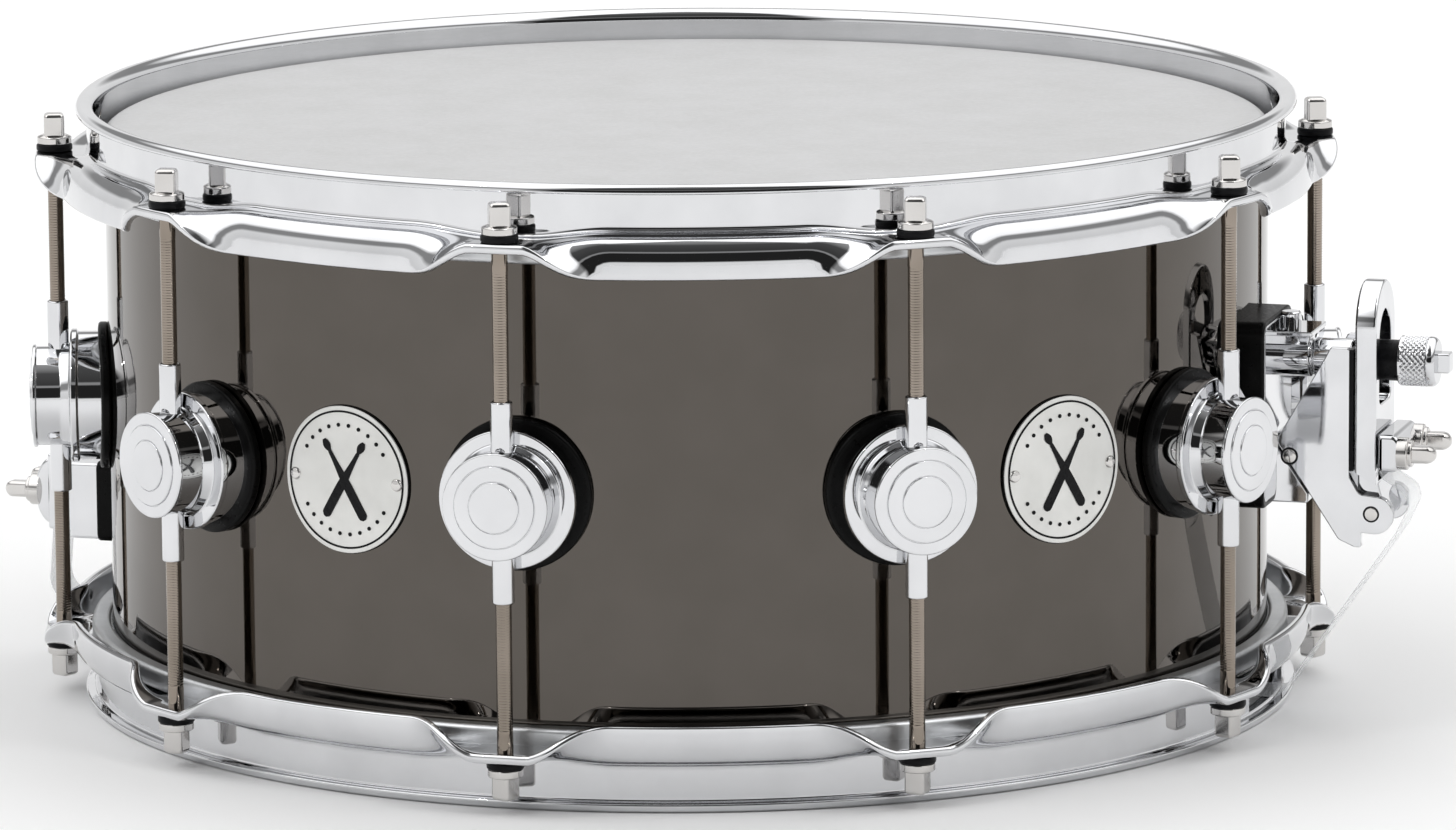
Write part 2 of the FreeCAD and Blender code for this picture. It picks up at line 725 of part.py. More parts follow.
def make_knob():
    """The tension knob on its spindle, with a square end for a drum key."""
    body = new_body("tension_knob", lift="knob_level")
    revolve(body, [
        ("base_face + 5", "0"),
        ("base_face + 5", "spindle_radius", "0.5"),
        ("barrel_reach + 0.4", "spindle_radius"),
        ("barrel_reach + 0.4", "6.2", "0.5"),
        ("knob_start", "6.2"),
        ("knob_start", "knob_radius", "0.6"),
        ("knob_end - 2.5", "knob_radius", "1.0"),
        ("knob_end", "knob_radius - 1.2", "0.5"),
        ("knob_end", "0"),
    ], "H_Axis")
    square = new_sketch(body, "YZ_Plane", "knob_end - 1")
    side = "head_square / 2"
    add_outline(square, [(f"0 - {side}", f"0 - {side}", "0.5"), (side, f"0 - {side}", "0.5"),
                         (side, side, "0.5"), (f"0 - {side}", side, "0.5")])
    pad(body, square, "key_end - knob_end + 1")


# ---- clamps, butt plate, straps and snares --------------------------------------------

def make_clamp(name, turn, back, front, level, height):
    """A D-shaped bar that pinches the strap; its own X axis points outwards."""
    body = new_body(name, turn=turn)
    low = f"{level} - {height} / 2"
    high = f"{level} + {height} / 2"
    side_plate(body, [(back, low), (f"{front} - 1.5", low, "2.2"), (front, f"{low} + 5", "2.0"),
                      (front, f"{high} - 5", "2.0"), (f"{front} - 1.5", high, "2.2"), (back, high)],
               "0 - cheek_outer", "cheek_outer * 2")
    holes = new_sketch(body, "YZ_Plane", back)
    for side in ("0 - clamp_screw_pitch", "clamp_screw_pitch"):
        add_circle(holes, side, level, "1.6")
    pocket(body, holes, f"{front} - ({back}) + 1", against=True)


def make_clamp_screws(name, turn, back, front, end, level):
    """Two key screws, each with a round collar and a square head."""
    body = new_body(name, turn=turn)
    for side in ("0 - clamp_screw_pitch", "clamp_screw_pitch"):
        rod_along_x(body, side, level, "1.5", f"{back} + 0.1", f"{front} - ({back})")
        rod_along_x(body, side, level, "4.4", front, "2.4")
        square = new_sketch(body, "YZ_Plane", f"{front} + 1")
        left, right = f"{side} - 2.6", f"{side} + 2.6"
        low, high = f"{level} - 2.6", f"{level} + 2.6"
        corners = [(left, low), (right, low), (right, high), (left, high)]
        add_outline(square, [(*corner, "1.2") for corner in corners])
        pad(body, square, f"{end} - {front} - 1")


def make_butt():
    """The fixed butt plate on its gasket; its own X axis points outwards."""
    half = "butt_width / 2"
    low = "butt_level - butt_height / 2"
    gasket = new_body("butt_gasket", turn=180)
    slab(gasket, ("shell_radius - 8", "butt_back"), (f"0 - {half} - 0.6", f"{half} + 0.6"),
         f"{low} - 0.6", "butt_height + 1.2", "0.6")
    trim_to_shell(gasket)
    screws = [(side, "butt_level") for side in BUTT_SCREWS]
    screw_holes(gasket, screws, "screw_hole", "butt_back")
    block = new_body("butt_block", turn=180)
    slab(block, ("butt_back", "butt_front"), (f"0 - {half}", half), low, "butt_height", "2.0")
    nose = new_sketch(block, "XY_Plane", f"{low} - 1")
    for sign in ("0 - ", ""):
        tip = f"{sign}({half} + 1)"
        root = f"{sign}cheek_outer"
        add_outline(nose, [("butt_front + 1", tip), ("butt_front + 1", root),
                           ("butt_front - 9", f"{sign}(cheek_outer + 3)"), ("butt_front - 12", tip)])
    pocket(block, nose, "butt_height + 2", against=True)
    screw_holes(block, screws, "screw_radius", "butt_back + 5")


def make_strap(name, turn, route):
    """A flat plastic strap; route holds the corners of its centre line with their bends."""
    body = new_body(name, turn=turn)
    centres = [Vector(value(x), 0, value(z)) for x, z, _ in route]
    half = value("strap_sheet") / 2
    sides = ([], [])
    for index, here in enumerate(centres):
        before = centres[max(index - 1, 0)]
        after = centres[min(index + 1, len(centres) - 1)]
        into = (here - before if index else after - here).normalize()
        out = (after - here if index < len(centres) - 1 else here - before).normalize()
        normals = [Vector(-way.z, 0, way.x) for way in (into, out)]
        mitre = (normals[0] + normals[1]).normalize()
        shift = mitre * (half / mitre.dot(normals[0]))
        turning = into.cross(out).y
        for side, sign in zip(sides, (1, -1)):
            point = here + shift * sign
            rounding = route[index][2]
            corner = [str(round(point.x, 3)), str(round(point.z, 3))]
            if rounding:
                grow = half if turning * sign > 0 else -half
                corner.append(str(round(rounding + grow, 3)))
            side.append(tuple(corner))
    side_plate(body, sides[0] + sides[1][::-1], "0 - strap_width / 2", "strap_width")


def make_snares():
    """Twenty wires, shown by their coils' outer cylinders, and the two end plates."""
    wires = new_body("snare_wires")
    level = f"{FILM_DEPTH} - wire_radius"
    first = new_sketch(wires, "YZ_Plane", "0 - wire_reach")
    for index in range(WIRE_COUNT):
        add_circle(first, f"wire_pitch * {index - (WIRE_COUNT - 1) / 2}", level, "wire_radius")
    pad(wires, first, "wire_reach * 2")
    plates = new_body("snare_end_plates")
    for start, end in (("plate_start", "plate_end"), ("0 - plate_end", "0 - plate_start")):
        slab(plates, (start, end), ("0 - plate_width / 2", "plate_width / 2"),
             f"{FILM_DEPTH} - wire_radius * 2 - plate_sheet", "plate_sheet", "3.0")


STRAP_LEVEL = f"{FILM_DEPTH} - wire_radius * 2 - plate_sheet - strap_sheet / 2"
STRAINER_STRAP = [
    ("plate_start + 1", STRAP_LEVEL, 0),
    ("188.0", STRAP_LEVEL, 5),
    ("224.0", "58.5", 6),
    ("229.0", "69.0", 5),
    ("lever_front + strap_sheet / 2", "75.5", 4),
    ("lever_front + strap_sheet / 2", "clamp_level + 4.7", 0),
]
BUTT_STRAP = [
    ("plate_start + 1", STRAP_LEVEL, 0),
    ("186.0", STRAP_LEVEL, 6),
    ("butt_front + strap_sheet / 2 + 1.6", "20.0", 8),
    ("butt_front + strap_sheet / 2", "38.0", 6),
    ("butt_front + strap_sheet / 2", "61.0", 0),
]

make_shell()
for head, is_top in (("batter", True), ("snare_side", False)):
    make_head(head, is_top)
make_hoop("batter_hoop", True, False)
make_hoop("snare_side_hoop", False, True)
for number in range(LUG_COUNT):
    lug_angle = FIRST_LUG_ANGLE + LUG_STEP * number
    make_lug(f"lug_{number + 1:02d}", lug_angle)
    make_rod(f"batter_rod_{number + 1:02d}", lug_angle, True)
    make_rod(f"snare_side_rod_{number + 1:02d}", lug_angle, False)
make_washers()
make_tube_nuts()
make_lug_gaskets()
make_mounting_screws()
make_badges()
make_badge_rivets()
make_vent()
make_strainer_base()
make_carriage()
make_lever()
make_knob()
make_clamp("strainer_strap_clamp", 0, "lever_front + strap_sheet", "clamp_front", "clamp_level", "clamp_height")
make_clamp_screws("strainer_clamp_screws", 0, "lever_front + strap_sheet", "clamp_front", "clamp_screw_end",
                  "clamp_level")
make_butt()
make_clamp("butt_strap_clamp", 180, "butt_front + strap_sheet", "butt_clamp_front", "butt_level",
           "butt_clamp_height")
make_clamp_screws("butt_clamp_screws", 180, "butt_front + strap_sheet", "butt_clamp_front", "butt_screw_end",
                  "butt_level")
make_snares()
make_strap("snare_strap_strainer", 0, STRAINER_STRAP)
make_strap("snare_strap_butt", 180, BUTT_STRAP)
doc.recompute()

for item in doc.Objects:
    if "Invalid" in item.State or "Error" in item.State:
        raise RuntimeError(f"{item.Label} did not compute: {item.State}")
for part in sub_parts:
    if part.Shape.isNull() or not part.Shape.isValid():
        raise RuntimeError(f"{part.Label} has no valid shape")
    part.Shape.exportStep(f"parts/{part.Label}.step")
print(len(sub_parts), "sub-parts written")
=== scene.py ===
"""Looks of a ten-lug metal snare drum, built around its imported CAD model.

Every piece is made in the CAD frame: the drum's axis is Z, its lower rim stands on Z = 0,
the throw-off is at +X and the butt plate at -X. Shapes are worked out in millimetres and
turned into metres when a piece is made. A "depth" runs inwards from the nearer rim face.
"""

import math

import bmesh
import bpy
from mathutils import Matrix, Vector


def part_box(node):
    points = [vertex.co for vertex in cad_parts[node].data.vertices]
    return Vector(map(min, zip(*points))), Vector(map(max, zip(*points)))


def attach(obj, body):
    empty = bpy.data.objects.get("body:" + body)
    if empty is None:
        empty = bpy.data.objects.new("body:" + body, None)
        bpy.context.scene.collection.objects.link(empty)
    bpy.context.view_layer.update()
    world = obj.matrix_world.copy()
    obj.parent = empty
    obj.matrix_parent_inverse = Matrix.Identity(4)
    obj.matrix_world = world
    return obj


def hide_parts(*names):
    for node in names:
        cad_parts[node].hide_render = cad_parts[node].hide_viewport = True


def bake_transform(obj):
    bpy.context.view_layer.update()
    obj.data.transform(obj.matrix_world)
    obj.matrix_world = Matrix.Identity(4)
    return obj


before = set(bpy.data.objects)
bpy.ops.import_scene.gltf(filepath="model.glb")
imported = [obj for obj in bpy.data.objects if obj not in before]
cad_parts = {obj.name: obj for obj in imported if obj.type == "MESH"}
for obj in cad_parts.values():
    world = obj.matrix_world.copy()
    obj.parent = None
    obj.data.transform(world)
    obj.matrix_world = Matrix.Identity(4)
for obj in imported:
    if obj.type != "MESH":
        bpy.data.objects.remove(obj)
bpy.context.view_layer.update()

MM = 0.001
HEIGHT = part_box("batter_hoop")[1].z / MM
MIDDLE = HEIGHT / 2
LUG_COUNT = 10
LUG_STEP = 360 / LUG_COUNT
FIRST_LUG_ANGLE = 18
LUG_ANGLES = [FIRST_LUG_ANGLE + LUG_STEP * i for i in range(LUG_COUNT)]
BADGE_ANGLES = (-108, -36)
VENT_ANGLE = 108

SHELL_RADIUS = 177.8
ROD_CIRCLE = 193.0
GASKET_SHEET = 3.0


# ---------------------------------------------------------------- points and faces

def lerp(a, b, share):
    return a + (b - a) * share


def smooth(share):
    share = min(max(share, 0.0), 1.0)
    return share * share * (3 - 2 * share)


def rounded(corners, steps=5, closed=False):
    """Points of an outline given as (x, y, radius) corners, each corner turned into an arc."""
    count = len(corners)
    points = []
    for i, (x, y, radius) in enumerate(corners):
        here = Vector((x, y))
        is_end = not closed and i in (0, count - 1)
        if radius == 0 or is_end:
            points.append(here)
            continue
        before = Vector(corners[i - 1][:2])
        after = Vector(corners[(i + 1) % count][:2])
        arriving = (here - before).normalized()
        leaving = (after - here).normalized()
        turn = arriving.angle_signed(leaving)
        start = here - arriving * radius * math.tan(abs(turn) / 2)
        side = Vector((arriving.y, -arriving.x)) * math.copysign(1, turn)
        centre = start + side * radius
        spoke = start - centre
        for k in range(steps + 1):
            angle = -turn * k / steps
            points.append(centre + Matrix.Rotation(angle, 2) @ spoke)
    return points


def circle(radius, level, sides):
    turns = [2 * math.pi * k / sides for k in range(sides)]
    return [Vector((radius * math.cos(t), radius * math.sin(t), level)) for t in turns]


def rounded_square(half, corner, level):
    corners = [(-half, -half, corner), (half, -half, corner), (half, half, corner), (-half, half, corner)]
    return [Vector((p.x, p.y, level)) for p in rounded(corners, 4, closed=True)]


def loft(rings, closed=False):
    """Faces between rings of equal length; open ends are capped."""
    sides = len(rings[0])
    points = [p for ring in rings for p in ring]
    faces = []
    spans = len(rings) if closed else len(rings) - 1
    for i in range(spans):
        low = i * sides
        high = (i + 1) % len(rings) * sides
        for k in range(sides):
            after = (k + 1) % sides
            faces.append((low + k, low + after, high + after, high + k))
    if not closed:
        last = (len(rings) - 1) * sides
        faces.append(tuple(range(sides))[::-1])
        faces.append(tuple(last + k for k in range(sides)))
    return points, faces


def lathe(profile, sides=64, closed=False):
    """Turns (radius, height) points about the local Z axis."""
    return loft([circle(p[0], p[1], sides) for p in profile], closed)


def signed_area(outline):
    return sum(a.x * b.y - b.x * a.y for a, b in zip(outline, outline[1:] + outline[:1])) / 2


def inset(outline, distance):
    """The outline moved inwards, or outwards for a negative distance, its corners kept sharp."""
    result = []
    for i, here in enumerate(outline):
        arriving = (here - outline[i - 1]).normalized()
        leaving = (outline[(i + 1) % len(outline)] - here).normalized()
        first = Vector((-arriving.y, arriving.x))
        middle = (first + Vector((-leaving.y, leaving.x))).normalized()
        result.append(here + middle * (distance / middle.dot(first)))
    return result


def slab(corners, low, high, edge=0.5, hollow=False):
    """A flat piece from level low to high with rounded rims, or the cutter for such an opening."""
    outline = rounded(corners, 6, closed=True)
    if signed_area(outline) < 0:
        outline.reverse()
    swings = [math.radians(90 * k / 4) for k in range(5)]
    rims = [(edge * (1 - math.sin(a)), edge * (1 - math.cos(a))) for a in swings]
    steps = [(inward, low + rise) for inward, rise in rims]
    steps += [(inward, high - rise) for inward, rise in reversed(rims)]
    if hollow:
        steps = [(edge, low - 1)] + steps + [(edge, high + 1)]
    sign = -1 if hollow else 1
    rings = []
    for inward, level in steps:
        rings.append([Vector((p.x, p.y, level)) for p in inset(outline, sign * inward)])
    return loft(rings)


def carve(shape, *cutters):
    """The shape less each of the cutters."""
    solids = []
    for points, faces in (shape, *cutters):
        mesh = bpy.data.meshes.new("solid")
        mesh.from_pydata(points, [], faces)
        turn_faces_out(mesh)
        solids.append(bpy.data.objects.new("solid", mesh))
        bpy.context.scene.collection.objects.link(solids[-1])
    for tool in solids[1:]:
        cut = solids[0].modifiers.new("cut", "BOOLEAN")
        cut.solver = "EXACT"
        cut.operation = "DIFFERENCE"
        cut.object = tool
    graph = bpy.context.evaluated_depsgraph_get()
    left = bpy.data.meshes.new_from_object(solids[0].evaluated_get(graph))
    result = [v.co.copy() for v in left.vertices], [tuple(f.vertices) for f in left.polygons]
    for solid in solids:
        bpy.data.objects.remove(solid)
    return result


def moved(shape, place):
    points, faces = shape
    return [place(p) for p in points], faces


def joined(shapes):
    points, faces = [], []
    for some_points, some_faces in shapes:
        first = len(points)
        points += some_points
        faces += [tuple(first + k for k in face) for face in some_faces]
    return points, faces


def radial(angle, level=MIDDLE):
    """Local X runs out from the drum's axis, Y along the shell and Z up."""
    turn = Matrix.Rotation(math.radians(angle), 3, "Z")
    return lambda p: turn @ p + Vector((0, 0, level))


def outwards(angle, level=MIDDLE, along=0.0):
    """Local Z runs out from the drum's axis, for what is turned about such a line."""
    place = radial(angle, level)
    return lambda p: place(Vector((p.z, p.x + along, p.y)))


def sideways(angle, level=0.0):
    """Local X runs out from the drum's axis, Y up and Z along the shell."""
    place = radial(angle, level)
    return lambda p: place(Vector((p.x, p.z, p.y)))


def against_shell(place):
    """Like place, whose local Z runs outwards, with what is inside the shell moved out to it."""
    return lambda p: place(Vector((p.x, p.y, max(p.z, math.sqrt(SHELL_RADIUS ** 2 - p.x ** 2) - 0.2))))


def on_shell(angle, level=MIDDLE):
    """Like outwards, with heights counted from the shell and bent round it."""
    place = radial(angle, level)
    return lambda p: place(Vector((math.sqrt(SHELL_RADIUS ** 2 - p.x ** 2) + p.z, p.x, p.y)))


def upright(x, y, level, flip=False):
    """Local Z runs up, or down if flip is set."""
    sign = -1 if flip else 1
    return lambda p: Vector((x + p.x, y + sign * p.y, level + sign * p.z))


def make(name, shape, material, body, nodes=(), crease=38):
    """Makes one visible piece that rides on a body and stands for the CAD nodes given."""
    points, faces = shape
    mesh = bpy.data.meshes.new(name)
    mesh.from_pydata([p * MM for p in points], [], faces)
    mesh.validate()
    turn_faces_out(mesh)
    mesh.shade_smooth()
    mesh.set_sharp_from_angle(angle=math.radians(crease))
    mesh.materials.append(material)
    piece = bpy.data.objects.new(name, mesh)
    bpy.context.scene.collection.objects.link(piece)
    normals = piece.modifiers.new("flat_faces_stay_flat", "WEIGHTED_NORMAL")
    normals.keep_sharp = True
    if body is not None:
        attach(piece, body)
    if nodes:
        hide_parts(*nodes)
    return piece


def turn_faces_out(mesh):
    work = bmesh.new()
    work.from_mesh(mesh)
    bmesh.ops.recalc_face_normals(work, faces=work.faces)
    work.to_mesh(mesh)
    work.free()


# ---------------------------------------------------------------- materials

def shader(name, **values):
    """A material with one Principled shader, its sockets set by name."""
    material = bpy.data.materials.new(name)
    material.use_nodes = True
    principled = material.node_tree.nodes["Principled BSDF"]
    for socket, value in values.items():
        principled.inputs[socket.replace("_", " ")].default_value = value
    return material


def noise(material, scale, detail=3.0, roughness=0.5):
    """A noise texture in the object's own metres."""
    nodes, links = material.node_tree.nodes, material.node_tree.links
    where = nodes.new("ShaderNodeTexCoord")
    texture = nodes.new("ShaderNodeTexNoise")
    texture.inputs["Scale"].default_value = scale
    texture.inputs["Detail"].default_value = detail
    texture.inputs["Roughness"].default_value = roughness
    links.new(where.outputs["Object"], texture.inputs["Vector"])
    return texture


def vary(material, socket, texture, low, high):
    """Drives a socket of the shader from low to high with a texture."""
    nodes, links = material.node_tree.nodes, material.node_tree.links
    spread = nodes.new("ShaderNodeMapRange")
    spread.inputs["From Min"].default_value = 0.3
    spread.inputs["From Max"].default_value = 0.7
    spread.inputs["To Min"].default_value = low
    spread.inputs["To Max"].default_value = high
    links.new(texture.outputs["Fac"], spread.inputs["Value"])
    links.new(spread.outputs["Result"], nodes["Principled BSDF"].inputs[socket])


def tint(material, texture, dark, light):
    """Drives the base colour between two colours with a texture."""
    nodes, links = material.node_tree.nodes, material.node_tree.links
    ramp = nodes.new("ShaderNodeValToRGB")
    ramp.color_ramp.elements[0].position = 0.35
    ramp.color_ramp.elements[0].color = (*dark, 1)
    ramp.color_ramp.elements[1].position = 0.65
    ramp.color_ramp.elements[1].color = (*light, 1)
    links.new(texture.outputs["Fac"], ramp.inputs["Fac"])
    links.new(ramp.outputs["Color"], nodes["Principled BSDF"].inputs["Base Color"])


def bump(material, texture, height):
    """Raises the surface by up to height metres with a texture."""
    nodes, links = material.node_tree.nodes, material.node_tree.links
    relief = nodes.new("ShaderNodeBump")
    relief.inputs["Strength"].default_value = 1.0
    relief.inputs["Distance"].default_value = height
    links.new(texture.outputs["Fac"], relief.inputs["Height"])
    links.new(relief.outputs["Normal"], nodes["Principled BSDF"].inputs["Normal"])


def plated(name, dark, light, smooth_roughness, rough_roughness, wave=0.000004):
    """Bright plated metal: faint waviness of the sheet, faint wipe marks in the gloss."""
    material = shader(name, Metallic=1.0)
    tint(material, noise(material, 45, 4), dark, light)
    vary(material, "Roughness", noise(material, 160, 6, 0.7), smooth_roughness, rough_roughness)
    bump(material, noise(material, 70, 1), wave)
    return material


def moulded(name, dark, light, low, high, grain=900, height=0.00002):
    """Moulded rubber or nylon with a fine matt grain."""
    material = shader(name, Specular_IOR_Level=0.1)
    tint(material, noise(material, 120, 4), dark, light)
    vary(material, "Roughness", noise(material, grain, 3), low, high)
    bump(material, noise(material, grain, 3), height)
    return material


def coated_film():
    material = shader("coated_film", IOR=1.5)
    tint(material, noise(material, 38, 8, 0.72), (0.535, 0.535, 0.535), (0.58, 0.58, 0.585))
    vary(material, "Roughness", noise(material, 700, 4), 0.42, 0.60)
    bump(material, noise(material, 1400, 4), 0.00004)
    return material


def clear_plastic(name, colour, alpha, low, high):
    material = shader(name, Base_Color=(*colour, 1), Alpha=alpha, IOR=1.5)
    vary(material, "Roughness", noise(material, 300, 5), low, high)
    bump(material, noise(material, 120, 3), 0.00002)
    return material


CHROME = plated("hoop_chrome", (0.66, 0.665, 0.68), (0.72, 0.725, 0.74), 0.025, 0.06)
LUG_CHROME = plated("lug_chrome", (0.68, 0.685, 0.70), (0.73, 0.735, 0.75), 0.02, 0.05, 0.000002)
FITTING_CHROME = plated("fitting_chrome", (0.66, 0.665, 0.68), (0.73, 0.735, 0.75), 0.03, 0.08)
BLACK_NICKEL = plated("black_nickel", (0.102, 0.092, 0.082), (0.109, 0.098, 0.088), 0.015, 0.04, 0.000002)
ROD_NICKEL = plated("rod_nickel", (0.25, 0.215, 0.18), (0.32, 0.275, 0.235), 0.03, 0.08)
HEAD_NICKEL = plated("head_nickel", (0.61, 0.595, 0.58), (0.68, 0.665, 0.65), 0.10, 0.18)
ALUMINIUM = plated("flesh_aluminium", (0.55, 0.56, 0.57), (0.64, 0.65, 0.66), 0.30, 0.45)
STEEL = plated("snare_steel", (0.56, 0.56, 0.56), (0.66, 0.66, 0.66), 0.18, 0.32)
SATIN = plated("badge_satin", (0.68, 0.68, 0.66), (0.76, 0.76, 0.74), 0.38, 0.52)
NYLON = moulded("washer_nylon", (0.004, 0.004, 0.005), (0.009, 0.009, 0.010), 0.28, 0.42)
RUBBER = moulded("black_rubber", (0.002, 0.002, 0.002), (0.004, 0.004, 0.004), 0.25, 0.40)
INK = moulded("black_enamel", (0.006, 0.006, 0.007), (0.010, 0.010, 0.011), 0.22, 0.35, 400, 0.000004)
COATED = coated_film()
CLEAR_FILM = clear_plastic("clear_film", (0.80, 0.82, 0.84), 0.28, 0.06, 0.16)
STRAP_PLASTIC = clear_plastic("strap_plastic", (0.86, 0.88, 0.90), 0.30, 0.12, 0.24)


# ---------------------------------------------------------------- shell and heads

def make_shell():
    wall = 1.0
    low, high = 9.45, HEIGHT - 9.45
    inner = SHELL_RADIUS - wall
    lip = SHELL_RADIUS - 5.0
    corners = [
        (SHELL_RADIUS, low, 1.4), (SHELL_RADIUS, high, 1.4),
        (lip, high - 3.0, 0.4), (lip, high - 3.0 - wall, 0.3), (inner, high - 2.0, 1.0),
        (inner, low + 2.0, 1.0), (lip, low + 3.0 + wall, 0.3), (lip, low + 3.0, 0.4),
    ]
    wall_ring = lathe(rounded(corners, 5, closed=True), 360, closed=True)
    drill = lathe([(5.9, SHELL_RADIUS - 6), (5.9, SHELL_RADIUS + 4)], 48)
    shape = carve(wall_ring, moved(drill, outwards(VENT_ANGLE)))
    make("shell_body", shape, BLACK_NICKEL, "root", ["shell"])


def make_head(side, film, flesh, film_material):
    """A film drawn over the shell's edge, held in its flesh hoop; side is 1 above and -1 below."""
    sheet = 0.5
    crest = 8.95
    collar = 178.6
    corners = [
        (1.0, crest, 0), (collar, crest, 3.4), (collar, 23.0, 0),
        (collar - sheet, 23.0, 0), (collar - sheet, crest + sheet, 2.9), (1.0, crest + sheet, 0),
    ]
    points = rounded(corners, 8)
    radii = [5, 20, 50, 90, 130, 160]
    top = [Vector((r, crest)) for r in radii]
    bottom = [Vector((r, crest + sheet)) for r in reversed(radii)]
    points = points[:1] + top + points[1:-1] + bottom + points[-1:]
    place = upright(0, 0, HEIGHT if side > 0 else 0, flip=side > 0)
    shape = moved(lathe(points, 180), place)
    make(film + "_sheet", shape, film_material, "root", [film])

    ring = [(178.7, 17.4, 1.0), (184.2, 17.4, 1.6), (184.2, 24.0, 1.6), (178.7, 24.0, 1.0)]
    shape = moved(lathe(rounded(ring, 5, closed=True), 240, closed=True), place)
    make(flesh + "_channel", shape, ALUMINIUM, "root", [flesh])


# ---------------------------------------------------------------- hoops

HOOP_SHEET = 2.8
HOOP_COLUMNS = 720
GATE_HALF_ANGLE = 7.0


def bent_path(corners, tangents, curve_steps=9, run_steps=2):
    """Points along straight runs joined by smooth bends, and where each run starts and ends.

    A tangent is a pair: how far before and after its corner the bend reaches.
    """
    points, runs = [], []
    starts = [corners[0]]
    for before, here, after, tangent in zip(corners, corners[1:], corners[2:], tangents):
        bend_start = here - (here - before).normalized() * tangent[0]
        bend_end = here + (after - here).normalized() * tangent[1]
        first = len(points)
        points += [starts[-1].lerp(bend_start, k / run_steps) for k in range(run_steps)]
        runs.append((first, len(points)))
        for k in range(curve_steps):
            share = k / curve_steps
            points.append(bend_start.lerp(here, share).lerp(here.lerp(bend_end, share), share))
        starts.append(bend_end)
    points += [starts[-1].lerp(corners[-1], k / run_steps) for k in range(run_steps + 1)]
    return points, runs


def hoop_section(skirt):
    """Closed (radius, depth) outline of the hoop's sheet: skirt is 0 at an ear, 1 between ears."""
    half = HOOP_SHEET / 2
    edge = 0.8
    wall = 181.7
    fold = Vector((lerp(190.0, 189.9, skirt), lerp(17.4, 16.3, skirt)))
    tail = lerp(8.2, 9.9, skirt)
    slope = math.radians(88 * skirt)
    rim, rim_start = 186.5, 184.2
    corners = [
        Vector((rim_start, half)),
        Vector((wall, half)),
        Vector((wall, lerp(17.4, 15.1, skirt))),
        fold,
        fold + tail * Vector((math.cos(slope), math.sin(slope))),
    ]
    path, runs = bent_path(corners, ((2.4, 2.4), (2.9, 2.9), (lerp(2.9, 4.4, skirt), lerp(2.9, 6.6, skirt))))
    normals = []
    for k in range(len(path)):
        along = (path[min(k + 1, len(path) - 1)] - path[max(k - 1, 0)]).normalized()
        normals.append(Vector((-along.y, along.x)))
    last = (path[-1] - path[-2]).normalized()
    swings = [math.radians(a) for a in (30, 60, 90, 120, 150)]
    outline = [p + n * half for p, n in zip(path, normals)]
    outline += [path[-1] + normals[-1] * half * math.cos(a) + last * edge * math.sin(a) for a in swings]
    outline += [p - n * half for p, n in zip(reversed(path), reversed(normals))]
    rim_edge = [(rim_start, HOOP_SHEET, 0), (rim, HOOP_SHEET, 0.6), (rim, 0, 2.1), (rim_start, 0, 0)]
    outline += rounded(rim_edge, 6)[1:-1]
    return outline, len(path), len(swings), runs


def skirt_share(angle):
    """How far the skirt has come down at an angle: 0 across an ear, 1 a little past it."""
    from_ear = abs((angle - FIRST_LUG_ANGLE + LUG_STEP / 2) % LUG_STEP - LUG_STEP / 2)
    ear_half, full_at = 2.3, 9.3
    return smooth((from_ear - ear_half) / (full_at - ear_half)) ** 0.8


def hoop_shape(gates):
    """The hoop as a ring of sections, with openings in its wall for the straps if gates is set."""
    points, faces = [], []
    step = 360 / HOOP_COLUMNS
    for column in range(HOOP_COLUMNS):
        angle = column * step
        outline, path_size, cap_size, runs = hoop_section(skirt_share(angle))
        turn = math.radians(angle)
        points += [Vector((p.x * math.cos(turn), p.x * math.sin(turn), p.y)) for p in outline]
    size = len(outline)
    wall_first, wall_last = runs[1]

    def corner(column, k):
        return column % HOOP_COLUMNS * size + k % size

    def opposite(k):
        return path_size + cap_size + path_size - 1 - k

    def open_here(column):
        angle = (column + 0.5) * step % 180
        return gates and min(angle, 180 - angle) < GATE_HALF_ANGLE

    for column in range(HOOP_COLUMNS):
        after = column + 1
        opened = open_here(column)
        for k in range(size):
            in_wall = wall_first <= k < wall_last
            behind_wall = opposite(wall_last) <= k < opposite(wall_first)
            if opened and (in_wall or behind_wall):
                continue
            faces.append((corner(column, k), corner(after, k), corner(after, k + 1), corner(column, k + 1)))
        if opened:
            for k in (wall_first, wall_last):
                faces.append((corner(column, k), corner(after, k),
                              corner(after, opposite(k)), corner(column, opposite(k))))
        if opened != open_here(column + 1):
            for k in range(wall_first, wall_last):
                faces.append((corner(after, k), corner(after, k + 1),
                              corner(after, opposite(k + 1)), corner(after, opposite(k))))
    return points, faces


def make_hoops():
    upper = moved(hoop_shape(gates=False), upright(0, 0, HEIGHT, flip=True))
    make("batter_hoop_sheet", upper, CHROME, "root", ["batter_hoop"])
    lower = hoop_shape(gates=True)
    make("snare_side_hoop_sheet", lower, CHROME, "root", ["snare_side_hoop"])


# ---------------------------------------------------------------- rods, washers and nuts

ROD_SEAT = 12.9
HEADS_FACE = -74.0


def threaded_shank(radius, length, plain=11.5, pitch=0.8, cut=0.16, sides=16):
    """A shank, plain at first and then with a thread round it, and a short taper at its tip."""
    rings = []
    rings_per_turn = 3
    count = round(length / pitch * rings_per_turn)
    for k in range(count + 1):
        level = -length * k / count
        taper = min(1.0, 0.72 + (length + level) / 3)
        ring = []
        for side in range(sides):
            phase = (level / pitch - side / sides) % 1
            depth = cut * abs(2 * phase - 1) * smooth((-level - plain) / pitch)
            turn = 2 * math.pi * side / sides
            reach = (radius - depth) * taper
            ring.append(Vector((reach * math.cos(turn), reach * math.sin(turn), level)))
        rings.append(ring)
    return loft(rings)


